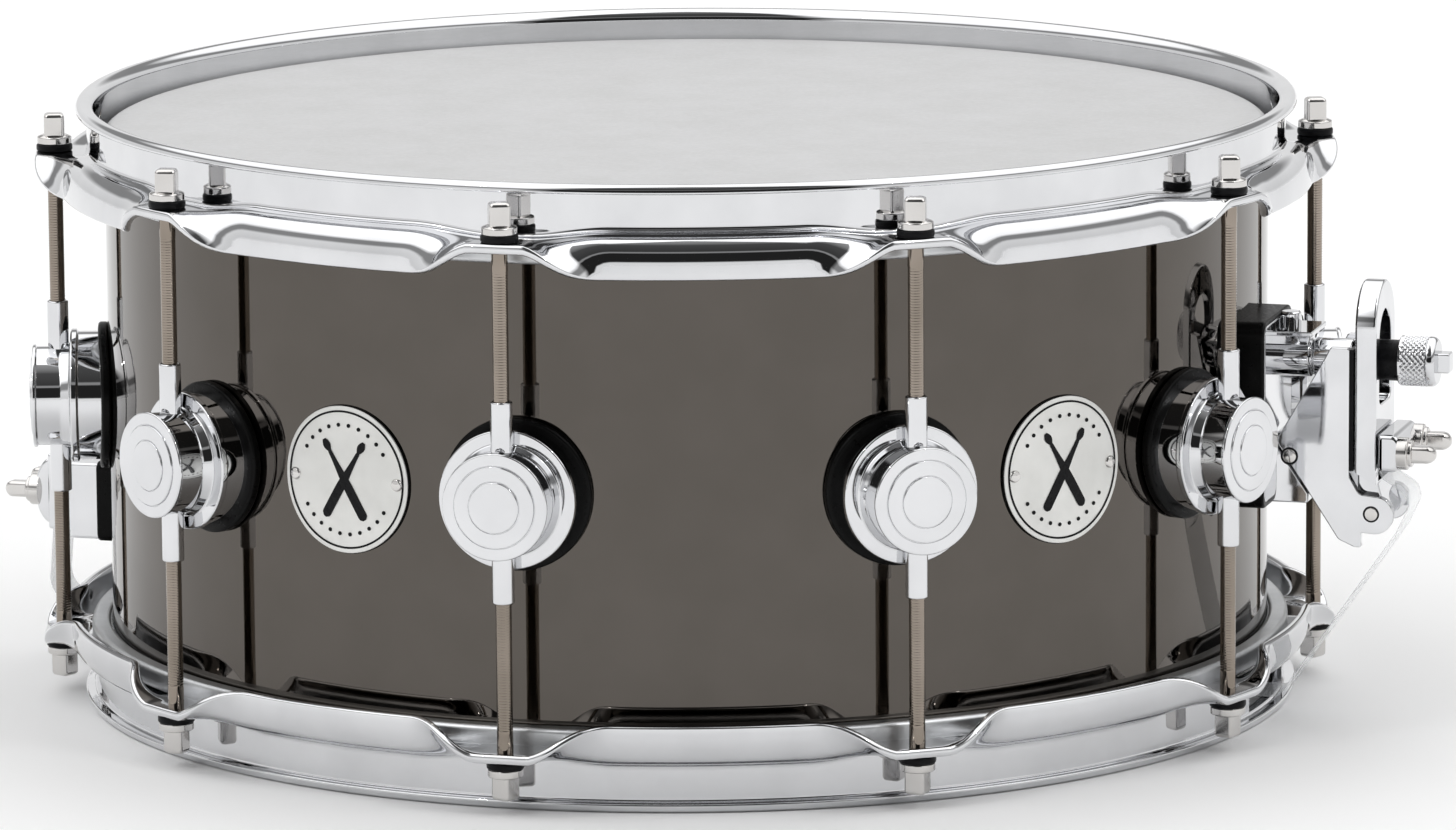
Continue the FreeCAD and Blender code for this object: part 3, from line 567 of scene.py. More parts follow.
def rod_head():
    """The flange, and the square head with its rounded edges and crowned end."""
    flange = [(0.5, -0.8, 0), (5.2, -0.8, 0.3), (5.2, 1.3, 0.5), (3.9, 1.8, 0.3), (0.5, 1.8, 0)]
    half, top, bottom = 3.1, 8.5, 1.5
    crown = [(0, bottom), (0, 7.2), (0.12, 7.75), (0.42, 8.15), (0.95, 8.4), (1.7, top)]
    rings = [rounded_square(half - inward, 1.05 - inward * 0.3, level) for inward, level in crown]
    return joined([lathe(rounded(flange, 4), 48), loft(rings)])


def make_rods():
    head = rod_head()
    shank = threaded_shank(2.4, 61.5)
    for i, angle in enumerate(LUG_ANGLES):
        turn = math.radians(angle)
        x, y = ROD_CIRCLE * math.cos(turn), ROD_CIRCLE * math.sin(turn)
        facing = Matrix.Rotation(math.radians(HEADS_FACE + 9 * math.sin(3.7 * i + 1)), 3, "Z")
        for prefix, level, flip in (("batter", HEIGHT - ROD_SEAT, False), ("snare_side", ROD_SEAT, True)):
            node = f"{prefix}_rod_{i + 1:02d}"
            body = node + "_body"
            place = upright(x, y, level, flip)
            placed = moved(shank, lambda p: place(facing @ p))
            make(node + "_shank", placed, ROD_NICKEL, body, [node], 60)
            placed = moved(head, lambda p: place(facing @ p))
            make(node + "_head", placed, HEAD_NICKEL, body)


def make_washers():
    ring = [(2.75, 0, 0.3), (5.5, 0, 0.7), (5.5, 2.25, 0.7), (2.75, 2.25, 0.3)]
    washer = lathe(rounded(ring, 4, closed=True), 40, closed=True)
    shapes = []
    for angle in LUG_ANGLES:
        turn = math.radians(angle)
        x, y = ROD_CIRCLE * math.cos(turn), ROD_CIRCLE * math.sin(turn)
        shapes.append(moved(washer, upright(x, y, HEIGHT - 16.0)))
        shapes.append(moved(washer, upright(x, y, 16.0, flip=True)))
    make("nylon_washers", joined(shapes), NYLON, "root", ["rod_washers"])


def make_tube_nuts():
    ring = [(2.45, 4, 0), (3.25, 4, 0), (3.25, 29.6, 0.5), (2.45, 29.6, 0.3)]
    nut = lathe(rounded(ring, 4, closed=True), 40, closed=True)
    shapes = []
    for angle in LUG_ANGLES:
        turn = math.radians(angle)
        x, y = ROD_CIRCLE * math.cos(turn), ROD_CIRCLE * math.sin(turn)
        shapes += [moved(nut, upright(x, y, MIDDLE)), moved(nut, upright(x, y, MIDDLE, flip=True))]
    make("tube_nuts", joined(shapes), LUG_CHROME, "root", ["lug_tube_nuts"])


# ---------------------------------------------------------------- lugs, badges and vent

def make_lugs():
    reach = SHELL_RADIUS
    outline = [
        (4.0, 1.7, 0), (19.75, 1.7, 0.2), (19.75, 9.2, 0.5), (20.5, 9.4, 0.35),
        (20.5, 11.4, 0.6), (16.4, 11.6, 0.8), (15.2, 14.5, 2.5), (15.2, 21.9, 0.3),
        (15.75, 22.1, 0.25), (15.75, 23.2, 0.5), (12.25, 23.25, 0.1), (12.2, 23.0, 0.05),
        (12.0, 23.0, 0.05), (11.9, 23.7, 0.25), (7.75, 23.75, 0.1), (7.7, 23.5, 0.05),
        (7.5, 23.5, 0.05), (7.4, 24.1, 0.25), (1.0, 24.15, 0),
    ]
    shape = lathe(rounded(outline, 4), 96)
    for i, angle in enumerate(LUG_ANGLES):
        name = f"lug_{i + 1:02d}"
        place = outwards(angle)
        placed = moved(shape, lambda p: place(p + Vector((0, 0, reach))))
        make(name + "_turned", placed, LUG_CHROME, "root", [name])


def shell_disc(radius, low, high, edge, sides=72):
    """A disc lying on the shell, from height low to high above it."""
    radii = [radius * k / 8 for k in range(1, 8)]
    rim = rounded([(radius * 0.94, low, 0), (radius, low, edge), (radius, high, edge),
                   (radius * 0.94, high, 0)], 4)
    profile = [Vector((r, low)) for r in radii] + rim + [Vector((r, high)) for r in reversed(radii)]
    return lathe(profile, sides)


def make_lug_gaskets():
    disc = shell_disc(22.5, 0.0, GASKET_SHEET, 0.9)
    shapes = [moved(disc, on_shell(angle)) for angle in LUG_ANGLES]
    make("lug_gasket_discs", joined(shapes), RUBBER, "root", ["lug_gaskets"])


def drumstick(slant):
    """A flat drumstick laid across the badge, its bead up, leaning by slant degrees."""
    length = 27.0
    stations = 36
    low, high = 1.2, 1.42
    turn = Matrix.Rotation(math.radians(slant), 2)
    rings = []
    for k in range(stations + 1):
        share = k / stations
        along = (share - 0.5) * length
        if share < 0.86:
            half = lerp(1.5, 0.62, smooth((share - 0.35) / 0.5)) * math.sqrt(min(1, share / 0.04 + 0.1))
        else:
            half = 0.5 + 0.75 * math.sin(math.pi * (share - 0.86) / 0.14)
        ring = []
        for across, height in ((-half, low), (-half, high), (half, high), (half, low)):
            flat = turn @ Vector((across, along))
            ring.append(Vector((flat.x, flat.y, height)))
        rings.append(ring)
    return loft(rings)


def ring_band(inner, outer, low, high, sides=96):
    outline = [(inner, low, 0.02), (outer, low, 0.02), (outer, high, 0.05), (inner, high, 0.05)]
    return lathe(rounded(outline, 2, closed=True), sides, closed=True)


def make_badges():
    """Two satin discs with a border and a pair of crossed sticks, a plain sign of the trade."""
    # The black pad is a little wider than the plate, so a thin black rim shows round each badge: painted
    # shade for the badge's shadow and its dark reflection in the shell.
    pad = shell_disc(22.0, 0.0, 0.7, 0.2, 96)
    plate = shell_disc(21.8, 0.7, 1.2, 0.25, 96)
    beads = []
    bead = lathe(rounded([(0.2, 1.2, 0), (0.62, 1.2, 0), (0.62, 1.4, 0.08), (0.2, 1.4, 0)], 2), 12)
    for k in range(28):
        turn = 2 * math.pi * (k + 0.5) / 28
        offset = Vector((16.2 * math.cos(turn), 16.2 * math.sin(turn), 0))
        if abs(offset.x) < 14.4:
            beads.append(moved(bead, lambda p: p + offset))
    signs = [ring_band(19.9, 20.5, 1.2, 1.36), drumstick(32), drumstick(-32)] + beads
    shade_rims = [moved(pad, on_shell(angle)) for angle in BADGE_ANGLES]
    plates = [moved(plate, on_shell(angle)) for angle in BADGE_ANGLES]
    marks = [moved(sign, on_shell(angle)) for angle in BADGE_ANGLES for sign in signs]
    make("badge_plates", joined(plates), SATIN, "root", ["badges"])
    make("badge_painted_shade_rims", joined(shade_rims), RUBBER, "root")
    make("badge_marks", joined(marks), INK, "root")


def make_badge_rivets():
    head = [(0.4, 0.6, 0), (1.9, 0.6, 0), (1.9, 1.25, 0.2), (1.5, 1.85, 0.35), (0.4, 2.1, 0)]
    rivet = lathe(rounded(head, 4), 28)
    shapes = []
    for angle in BADGE_ANGLES:
        for across in (-18.2, 18.2):
            shapes.append(moved(moved(rivet, lambda p: p + Vector((across, 0, 0))), on_shell(angle)))
    make("badge_rivet_heads", joined(shapes), HEAD_NICKEL, "root", ["badge_rivets"])


def make_vent():
    ring = [
        (4.5, -1.8, 0.3), (5.8, -1.8, 0.3), (5.8, 0.05, 0.1), (7.5, 0.05, 0.4), (7.2, 1.4, 0.6),
        (4.5, 1.6, 0.7),
    ]
    shape = lathe(rounded(ring, 4, closed=True), 48, closed=True)
    placed = moved(shape, on_shell(VENT_ANGLE))
    make("air_vent_ring", placed, FITTING_CHROME, "root", ["air_vent_grommet"])


# ---------------------------------------------------------------- throw-off

BASE_BACK = 184.0
BARREL_LEVEL = 109.5
BARREL_END = 209.0
LEVER_BACK, LEVER_FRONT = 211.8, 218.4
PIVOT_REACH, PIVOT_LEVEL = 217.1, 64.7
CHEEK_INNER, CHEEK_OUTER = 11.0, 14.0


def turned(profile, angle, level, along=0.0, sides=48):
    """A closed solid turned about a line that runs outwards; profile holds (radius, reach, bend)."""
    tip = 0.3
    corners = [(tip, profile[0][1], 0), *profile, (tip, profile[-1][1], 0)]
    return moved(lathe(rounded(corners, 4), sides), outwards(angle, level, along))


def make_strainer_base():
    """The gasket, and the base with its barrel, top block, cap and foot."""
    back = [(-20.0, 65.5, 4), (20.0, 65.5, 4), (20.0, 122.3, 4), (-20.0, 122.3, 4)]
    pad = moved(slab(back, 175.0, BASE_BACK + 1.3, 0.8), against_shell(outwards(0, 0)))
    make("strainer_gasket_pad", pad, RUBBER, "root", ["strainer_gasket"])

    plate = [(-18.6, 67.2, 3), (18.6, 67.2, 3), (18.6, 121.2, 3), (-18.6, 121.2, 3)]
    block = [(BASE_BACK, 117.2, 0.2), (198.0, 117.2, 0.4), (198.0, 118.7, 0.4), (BASE_BACK, 118.7, 0.2)]
    neck = [(BASE_BACK, 112.0, 0), (195.0, 112.0, 0), (196.5, 117.6, 0), (BASE_BACK, 117.6, 0)]
    foot = [(BASE_BACK, 66.5, 0.5), (197.0, 66.5, 1.0), (197.0, 69.5, 1.0), (BASE_BACK, 88.5, 0.5)]
    barrel = [
        (6.0, BASE_BACK, 0), (6.0, 195.8, 0.5), (5.4, 196.3, 0.2), (5.4, 196.9, 0.2),
        (6.0, 197.4, 0.5), (6.0, BARREL_END, 0.8),
    ]
    cap = lathe(rounded([(0.3, 0, 0), (3.2, 0, 0), (3.2, 3.5, 0.8), (0.3, 3.5, 0)], 4), 40)
    shape = joined([
        moved(slab(plate, 180.8, 185.5, 0.7), against_shell(outwards(0, 0))),
        moved(slab(block, -10.4, 10.4, 0.35), sideways(0)),
        moved(slab(neck, -4.2, 4.2, 0.4), sideways(0)),
        moved(slab(foot, -10.4, 10.4, 0.5), sideways(0)),
        turned(barrel, 0, BARREL_LEVEL),
        moved(cap, upright(187.8, 6.6, 118.65)),
    ])
    make("strainer_base_casting", shape, FITTING_CHROME, "root", ["strainer_base"])


def make_carriage():
    """Two cheeks joined by a web, a screw in the near cheek, and the pin the lever turns on."""
    body = "strainer_carriage_body"
    cheek = [
        (202.4, 111.2, 1.5), (187.8, 86.0, 2.5), (207.0, 56.6, 3.0), (212.0, 54.4, 1.5),
        (213.9, 54.4, 0.4), (213.9, 58.9, 0.4), (217.7, 58.6, 2.0), (223.7, 58.8, 5.5),
        (223.7, 69.6, 5.0), (213.4, 70.6, 2.5), (210.2, 76.2, 3.0), (210.2, 115.0, 0.8),
        (204.4, 115.0, 0.8),
    ]
    web = [(204.5, 80.0, 0.8), (209.5, 80.0, 0.8), (209.5, 99.0, 0.8), (204.5, 99.0, 0.8)]
    shape = joined([
        moved(slab(cheek, -CHEEK_OUTER, -CHEEK_INNER, 0.35), sideways(0)),
        moved(slab(cheek, CHEEK_INNER, CHEEK_OUTER, 0.35), sideways(0)),
        moved(slab(web, -CHEEK_INNER - 0.5, CHEEK_INNER + 0.5, 0.3), sideways(0)),
    ])
    make("strainer_cheeks", shape, FITTING_CHROME, body, ["strainer_carriage"])
    bumper = [(209.8, 77.5, 0.3), (211.5, 77.5, 0.3), (211.5, 114.5, 0.3), (209.8, 114.5, 0.3)]
    window = [(-7.5, 98.0, 2), (7.5, 98.0, 2), (7.5, 118.0, 2), (-7.5, 118.0, 2)]
    strip = carve(moved(slab(bumper, -13.6, 13.6, 0.3), sideways(0)),
                  moved(slab(window, 208.0, 213.0, 0.3), outwards(0, 0)))
    make("lever_bumper", strip, INK, body)

    near_side = sideways(0)

    def on_cheek(profile, reach, level, sides=40):
        solid = lathe(rounded(profile, 4), sides)
        return moved(solid, lambda p: near_side(Vector((reach + p.x, level + p.y, -p.z))))

    screw_reach, screw_level = 192.0, 81.4
    # A flat black disc round the screw head: painted shade for the recess the screw sits in, which is not
    # modelled.
    screw_shade_outline = [(0.3, 13.5, 0), (2.7, 13.5, 0), (2.7, 14.06, 0.05), (0.3, 14.06, 0)]
    ring = on_cheek(screw_shade_outline, screw_reach, screw_level)
    screw = [(0.3, 13.6, 0), (2.1, 13.6, 0), (2.1, 14.3, 0.4), (0.3, 14.5, 0)]
    head = on_cheek(screw, screw_reach, screw_level)
    make("cheek_screw_painted_shade", ring, INK, body)
    make("cheek_screw_head", head, HEAD_NICKEL, body)

    pin_outline = [
        (0.3, -14.3, 0), (2.0, -14.3, 0.2), (2.0, -13.9, 0), (2.45, -13.9, 0),
        (2.45, 13.9, 0), (2.0, 13.9, 0), (2.0, 14.3, 0.2), (0.3, 14.3, 0),
    ]
    pin = on_cheek(pin_outline, PIVOT_REACH, PIVOT_LEVEL)
    make("pivot_pin", pin, HEAD_NICKEL, body, ["lever_pivot_pin"])
    # Black rings round both pin ends: painted shade for the gap where the pin sits in its holes.
    pin_shade_outline = [(2.0, 13.6, 0), (2.5, 13.6, 0), (2.5, 14.05, 0), (2.0, 14.05, 0)]
    pin_shade_ring = lathe(rounded(pin_shade_outline, 1, closed=True), 40, closed=True)
    pin_shade_rings = [moved(pin_shade_ring, lambda p, s=side: near_side(Vector((PIVOT_REACH + p.x, PIVOT_LEVEL + p.y, s * p.z))))
            for side in (-1, 1)]
    make("pivot_pin_painted_shade_rings", joined(pin_shade_rings), INK, body)


def make_lever():
    """The throw lever: an arched loop round the knob, on a knuckle that turns on the pin."""
    half, window_half = 14.0, 8.6
    swings = [math.radians(180 * k / 20) for k in range(21)]
    arch = [(half * math.cos(a), 120.0 + half * math.sin(a), 0) for a in swings]
    window_top = [(window_half * math.cos(a), 116.4 + window_half * math.sin(a), 0) for a in swings]
    loop = slab([(-half, 70.0, 1.0), (half, 70.0, 1.0)] + arch, LEVER_BACK, LEVER_FRONT, 0.9)
    wedge = slab([(208.0, 60.0, 0), (222.0, 60.0, 0), (222.0, 71.5, 0), (208.0, 79.6, 0)], -20, 20, 0.0)
    opening = slab([(-window_half, 97.0, 3.0), (window_half, 97.0, 3.0)] + window_top,
                   LEVER_BACK, LEVER_FRONT, 0.7, hollow=True)
    knuckle = [
        (212.2, 59.8, 4.1), (222.0, 59.8, 4.1), (LEVER_FRONT, 74.0, 1.0), (LEVER_FRONT, 77.5, 0.3),
        (212.2, 77.5, 0.3),
    ]
    shape = joined([
        carve(moved(loop, outwards(0, 0)), moved(opening, outwards(0, 0)), moved(wedge, sideways(0))),
        moved(slab(knuckle, -10.5, 10.5, 0.6), sideways(0)),
    ])
    make("throw_lever_loop", shape, FITTING_CHROME, "throw_lever_body", ["throw_lever"])


KNURL_DIAMONDS = 28
KNURL_SIDES = 6


def knurled_rings(radius, start, end, depth=0.42):
    """Rings of a diamond knurl: two sets of crossing grooves, fading out at both ends."""
    sides = KNURL_DIAMONDS * KNURL_SIDES
    rows = round((end - start) / 0.28)
    pitch = 1.7
    rings = []
    for row in range(rows + 1):
        reach = lerp(start, end, row / rows)
        fade = smooth(min(row, rows - row) / 3)
        ring = []
        for side in range(sides):
            share = side / sides * KNURL_DIAMONDS
            grooves = [abs(2 * ((share + s * reach / pitch) % 1) - 1) for s in (-1, 1)]
            r = radius - depth * fade * max(grooves) ** 1.5
            turn = 2 * math.pi * side / sides
            ring.append(Vector((r * math.cos(turn), r * math.sin(turn), reach)))
        rings.append(ring)
    return rings


def make_knob():
    """The tension knob: a sleeve on its neck, black as painted shade and dark reflection, a knurled grip and
    a square end for a drum key.
    """
    body = "tension_knob_body"
    radius, start, end, key_end = 7.6, 223.0, 234.5, 238.5
    sides = KNURL_DIAMONDS * KNURL_SIDES
    rings = [circle(1.0, start, sides), circle(6.6, start, sides), circle(7.3, start + 0.15, sides)]
    rings += knurled_rings(radius, start + 0.5, end - 2.2)
    rings += [circle(radius - 0.5 * k * k / 9, end - 1.9 + 0.5 * k, sides) for k in range(1, 4)]
    rings += [circle(6.6, end, sides), circle(1.0, end, sides)]
    crown = [(0, end - 0.5), (0, key_end - 0.5), (0.15, key_end - 0.2), (0.5, key_end)]
    key = loft([rounded_square(3.0 - inward, 0.6, reach) for inward, reach in crown])
    grip = moved(joined([loft(rings), key]), outwards(0, BARREL_LEVEL))
    make("tension_knob_grip", grip, FITTING_CHROME, body, ["tension_knob"])
    # The neck between barrel and grip is real; its black enamel is painted shade and dark reflection round
    # the knob's neck.
    shade_sleeve_start = BARREL_END + 0.4
    shade_sleeve = [(2.9, 190.0, 0), (2.9, shade_sleeve_start, 0), (6.2, shade_sleeve_start, 0.4), (6.2, start, 0.3)]
    make("tension_knob_painted_shade_sleeve", turned(shade_sleeve, 0, BARREL_LEVEL), INK, body)


# ---------------------------------------------------------------- clamps, straps and snares

STRAP_WIDTH = 19.0
STRAP_SHEET = 0.5
SCREW_PITCH = 11.6


def key_screws(angle, level, face, end, half_square):
    """A pair of strap screws: a stepped round collar and a square end with a bullet tip."""
    collar = [
        (4.9, face - 1.5, 0), (4.9, face + 1.6, 0.5), (4.0, face + 1.8, 0.2), (4.0, face + 2.9, 0.5),
    ]
    tip = [
        (0, face + 2.0), (0, end - 2.6), (0.25, end - 1.6), (0.8, end - 0.7), (1.5, end - 0.15), (2.1, end),
    ]
    rings = []
    for inward, reach in tip:
        half = half_square - inward
        rings.append(rounded_square(half, min(1.2, half - 0.05), reach))
    shapes = []
    for along in (-SCREW_PITCH, SCREW_PITCH):
        shapes.append(turned(collar, angle, level, along))
        shapes.append(moved(loft(rings), outwards(angle, level, along)))
    return joined(shapes)


def make_strainer_clamp():
    body = "throw_lever_body"
    back = LEVER_FRONT + STRAP_SHEET
    bar = [(back, 77.6, 0.5), (224.3, 77.6, 2.4), (226.5, 80.8, 1.6), (226.5, 85.8, 1.6),
           (224.3, 89.0, 2.4), (back, 89.0, 0.8)]
    shape = moved(slab(bar, -CHEEK_OUTER, CHEEK_OUTER, 1.4), sideways(0))
    make("strainer_clamp_bar", shape, FITTING_CHROME, body, ["strainer_strap_clamp"])
    screws = key_screws(0, 83.3, 226.5, 236.5, 2.6)
    make("strainer_key_screws", screws, HEAD_NICKEL, body, ["strainer_clamp_screws"])


def make_butt():
    """The butt plate on its gasket, and the strap clamp on its face."""
    back, front, level = 184.0, 204.7, 52.6
    tall, wide = 12.0, 27.0
    pad = [(side * (wide + 0.6), level + up * (tall + 0.6), 2.5)
           for side, up in ((-1, -1), (1, -1), (1, 1), (-1, 1))]
    shape = moved(slab(pad, 172.0, back, 0.7), against_shell(outwards(180, 0)))
    make("butt_gasket_pad", shape, RUBBER, "root", ["butt_gasket"])
    block = [
        (180.0, -27.0, 0), (192.9, -27.0, 1.2), (195.7, -17.0, 1.5), (front, -14.4, 0.8),
        (front, 14.4, 0.8), (195.7, 17.0, 1.5), (192.9, 27.0, 1.2), (180.0, 27.0, 0),
    ]
    shape = moved(slab(block, level - tall, level + tall, 1.0), radial(180, 0))
    make("butt_block_casting", shape, FITTING_CHROME, "root", ["butt_block"])

    clamp_front, bulge, clamp_tall = 209.2, 5.6, 10.5
    swings = [math.radians(180 * k / 28 - 90) for k in range(29)]
    bar = [(clamp_front - bulge * (1 - math.cos(a)), level + clamp_tall * math.sin(a), 0) for a in swings]
    shape = moved(slab(bar, -CHEEK_OUTER, CHEEK_OUTER, 1.0), sideways(180))
    make("butt_clamp_bar", shape, FITTING_CHROME, "root", ["butt_strap_clamp"])
    screws = key_screws(180, level, clamp_front, 219.6, 2.5)
    make("butt_key_screws", screws, HEAD_NICKEL, "root", ["butt_clamp_screws"])


def strap(route, start=None, end=None):
    """A strap bent along a route of (reach, level, bend) corners, or the stretch between two points."""
    path = rounded(route, 8)
    fine = []
    for a, b in zip(path, path[1:]):
        steps = max(1, round((b - a).length / 2.0))
        fine += [a.lerp(b, k / steps) for k in range(steps)]
    fine.append(path[-1])
    if start is not None:
        first = min(range(len(fine)), key=lambda k: (fine[k] - start).length)
        fine = fine[first:]
    if end is not None:
        last = min(range(len(fine)), key=lambda k: (fine[k] - end).length)
        fine = fine[:last + 1]
    half_width, half_sheet = STRAP_WIDTH / 2, STRAP_SHEET * 0.45
    edge = half_width - 0.15
    rings = []
    for k, here in enumerate(fine):
        along = (fine[min(k + 1, len(fine) - 1)] - fine[max(k - 1, 0)]).normalized()
        side = Vector((-along.y, along.x)) * half_sheet
        inner, outer = here + side, here - side
        section = [
            (inner, -edge), (inner, edge), (here, half_width),
            (outer, edge), (outer, -edge), (here, -half_width),
        ]
        rings.append([Vector((point.x, point.y, across)) for point, across in section])
    return loft(rings)


STRAP_LEVEL = 6.3
STRAINER_ROUTE = [
    (151.0, STRAP_LEVEL, 0), (188.0, STRAP_LEVEL, 5), (224.0, 58.5, 6), (229.0, 69.0, 5),
    (218.65, 75.5, 4), (218.65, 88.0, 0),
]
BUTT_ROUTE = [
    (151.0, STRAP_LEVEL, 0), (186.0, STRAP_LEVEL, 6), (206.55, 20.0, 8), (204.95, 38.0, 6), (204.95, 61.0, 0),
]


def make_straps():
    """The butt strap, and the strainer strap as two lengths that meet where the carriage takes over."""
    butt = moved(strap(BUTT_ROUTE), sideways(180))
    make("butt_strap_strip", butt, STRAP_PLASTIC, "root", ["snare_strap_butt"])

    node = ["snare_strap_strainer"]
    meeting = Vector((211.0, 39.7))
    lower = moved(strap(STRAINER_ROUTE, end=meeting), sideways(0))
    piece = make("strainer_strap_lower", lower, STRAP_PLASTIC, None, node)
    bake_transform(piece)
    upper = moved(strap(STRAINER_ROUTE, start=meeting), sideways(0))
    piece = make("strainer_strap_upper", upper, STRAP_PLASTIC, None)
    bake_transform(piece)


WIRE_COUNT = 20


def make_snares():
    """Coiled wires under the snare-side head, between two end plates."""
    pitch, reach, level = 2.1, 158.0, 8.15
    coil_radius, wire_radius, coil_pitch = 0.55, 0.24, 1.6
    per_turn = 6
    steps = round(2 * reach / coil_pitch * per_turn)
    coils = []
    for index in range(WIRE_COUNT):
        across = pitch * (index - (WIRE_COUNT - 1) / 2)
        rings = []
        for k in range(steps + 1):
            turn = 2 * math.pi * k / per_turn
            spoke = Vector((0, math.cos(turn), math.sin(turn)))
            centre = Vector((lerp(-reach, reach, k / steps), across, level)) + spoke * coil_radius
            lean = Vector((1, 0, 0))
            rings.append([centre + (spoke * c + lean * s) * wire_radius
                          for c, s in ((1, 0), (0, 1), (-1, 0), (0, -1))])
        coils.append(loft(rings))
    make("snare_coils", joined(coils), STEEL, "root", ["snare_wires"])
    plate = [(150.0, -22.5, 3), (166.0, -22.5, 3), (166.0, 22.5, 3), (150.0, 22.5, 3)]
    plates = [moved(slab(plate, 6.55, 7.35, 0.2), radial(angle, 0)) for angle in (0, 180)]
    make("snare_plates", joined(plates), STEEL, "root", ["snare_end_plates"])


# ---------------------------------------------------------------- studio

def make_floor():
    mesh = bpy.data.meshes.new("floor")
    half = 9.0
    corners = [(-half, -half, 0), (half, -half, 0), (half, half, 0), (-half, half, 0)]
    mesh.from_pydata(corners, [], [(0, 1, 2, 3)])
    floor = bpy.data.objects.new("floor", mesh)
    bpy.context.scene.collection.objects.link(floor)
    paper = shader("white_paper", Base_Color=(0.95, 0.95, 0.95, 1), Roughness=0.9)
    mesh.materials.append(paper)


FRONT_AZIMUTH = math.radians(-71.0)
FRONT_EDGE = (0.82, 0.89)
FRONT_STOPS = [
    (0, 0.95), (0.525, 0.95), (0.54, 0.02), (0.725, 0.02), (0.735, 0.3), (0.76, 0.3), (0.775, 0.05),
    (0.94, 0.08), (1, 0.35),
]
ROOM_STOPS = [
    (0, 0.95), (0.499, 0.95), (0.506, 0.80), (0.56, 0.85), (0.61, 0.9), (0.65, 0.30), (0.72, 0.30),
    (0.77, 1.4), (1, 1.7),
]


def make_world():
    """White for the camera; for light and reflections, a bright room with a dark opening in front."""
    world = bpy.data.worlds.new("studio")
    world.use_nodes = True
    bpy.context.scene.world = world
    nodes, links = world.node_tree.nodes, world.node_tree.links
    nodes.clear()
    where = nodes.new("ShaderNodeTexCoord")
    split = nodes.new("ShaderNodeSeparateXYZ")
    height = nodes.new("ShaderNodeMapRange")
    height.inputs["From Min"].default_value = -1.0
    links.new(where.outputs["Generated"], split.inputs["Vector"])
    links.new(split.outputs["Z"], height.inputs["Value"])

    def wall(stops):
        ramp = nodes.new("ShaderNodeValToRGB")
        elements = ramp.color_ramp.elements
        while len(elements) < len(stops):
            elements.new(0.5)
        for element, (position, value) in zip(elements, stops):
            element.position = position
            element.color = (value, value, value, 1)
        background = nodes.new("ShaderNodeBackground")
        links.new(height.outputs["Result"], ramp.inputs["Fac"])
        links.new(ramp.outputs["Color"], background.inputs["Color"])
        return background.outputs["Background"]

    def mixed(share, first, second):
        mix = nodes.new("ShaderNodeMixShader")
        links.new(share, mix.inputs["Fac"])
        links.new(first, mix.inputs[1])
        links.new(second, mix.inputs[2])
        return mix.outputs["Shader"]

    flat = nodes.new("ShaderNodeVectorMath")
    flat.operation = "MULTIPLY"
    flat.inputs[1].default_value = (1, 1, 0)
    unit = nodes.new("ShaderNodeVectorMath")
    unit.operation = "NORMALIZE"
    facing = nodes.new("ShaderNodeVectorMath")
    facing.operation = "DOT_PRODUCT"
    facing.inputs[1].default_value = (math.cos(FRONT_AZIMUTH), math.sin(FRONT_AZIMUTH), 0)
    opening = nodes.new("ShaderNodeMapRange")
    opening.inputs["From Min"].default_value = FRONT_EDGE[0]
    opening.inputs["From Max"].default_value = FRONT_EDGE[1]
    links.new(where.outputs["Generated"], flat.inputs[0])
    links.new(flat.outputs["Vector"], unit.inputs[0])
    links.new(unit.outputs["Vector"], facing.inputs[0])
    links.new(facing.outputs["Value"], opening.inputs["Value"])
    studio = mixed(opening.outputs["Result"], wall(ROOM_STOPS), wall(FRONT_STOPS))

    backdrop = nodes.new("ShaderNodeBackground")
    backdrop.inputs["Color"].default_value = (1, 1, 1, 1)
    path = nodes.new("ShaderNodeLightPath")
    output = nodes.new("ShaderNodeOutputWorld")
    surface = mixed(path.outputs["Is Camera Ray"], studio, backdrop.outputs["Background"])
    links.new(surface, output.inputs["Surface"])


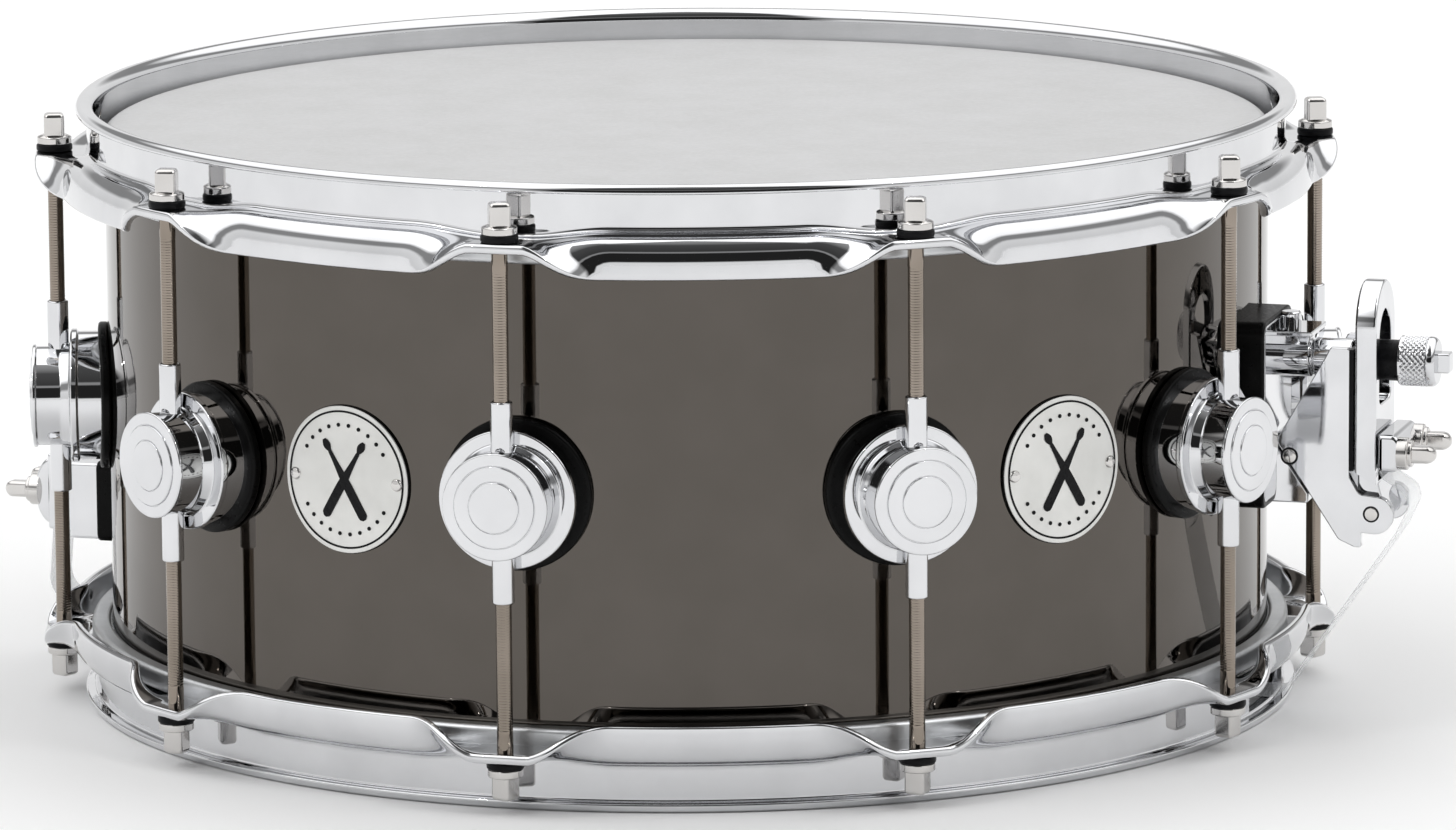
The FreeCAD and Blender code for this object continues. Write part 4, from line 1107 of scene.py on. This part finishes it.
def make_key_lights():
    """Two small round lamps above, one to each side, which give small highlights and a faint shadow."""
    elevation = math.radians(50)
    for name, degrees in (("key_light_left", -122), ("key_light_right", -26)):
        azimuth = math.radians(degrees)
        towards = Vector((math.cos(azimuth) * math.cos(elevation), math.sin(azimuth) * math.cos(elevation),
                          math.sin(elevation)))
        data = bpy.data.lights.new(name, "AREA")
        data.shape = "DISK"
        data.size = 0.16
        data.energy = 4.0
        light = bpy.data.objects.new(name, data)
        light.location = towards * 3.0
        light.rotation_euler = towards.to_track_quat("Z", "Y").to_euler()
        bpy.context.scene.collection.objects.link(light)


def make_camera():
    """A long lens from the front, a little above the batter head and to the throw-off's side."""
    azimuth, elevation = math.radians(15.917), math.radians(10.417)
    roll = math.radians(-0.413)
    distance = 2.8097
    sensor = 36.0
    focal = 225.9
    aim_right, aim_down = 0.0122, 0.00873
    back = Vector((math.sin(azimuth) * math.cos(elevation), -math.cos(azimuth) * math.cos(elevation),
                   math.sin(elevation)))
    level = Vector((math.cos(azimuth), math.sin(azimuth), 0))
    lift = back.cross(level)
    right = level * math.cos(roll) + lift * math.sin(roll)
    up = -level * math.sin(roll) + lift * math.cos(roll)
    drum = Vector((0, 0, MIDDLE * MM))
    place = drum + back * distance + right * aim_right - up * aim_down
    data = bpy.data.cameras.new("camera")
    data.sensor_width = sensor
    data.lens = focal
    data.clip_end = 50.0
    camera = bpy.data.objects.new("camera", data)
    bpy.context.scene.collection.objects.link(camera)
    turn = Matrix((right, up, back)).transposed().to_4x4()
    camera.matrix_world = Matrix.Translation(place) @ turn
    bpy.context.scene.camera = camera


def finish_mounting_screws():
    """The screws inside the shell keep their own shape."""
    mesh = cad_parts["mounting_screws"].data
    mesh.materials.clear()
    mesh.materials.append(HEAD_NICKEL)


make_camera()
make_world()
make_key_lights()
make_floor()
make_shell()
make_head(1, "batter_head_film", "batter_flesh_hoop", COATED)
make_head(-1, "snare_side_head_film", "snare_side_flesh_hoop", CLEAR_FILM)
make_hoops()
make_rods()
make_washers()
make_tube_nuts()
make_lugs()
make_lug_gaskets()
make_badges()
make_badge_rivets()
make_vent()
make_strainer_base()
make_carriage()
make_lever()
make_knob()
make_strainer_clamp()
make_butt()
make_straps()
make_snares()
finish_mounting_screws()

bpy.context.scene.view_settings.view_transform = "Standard"
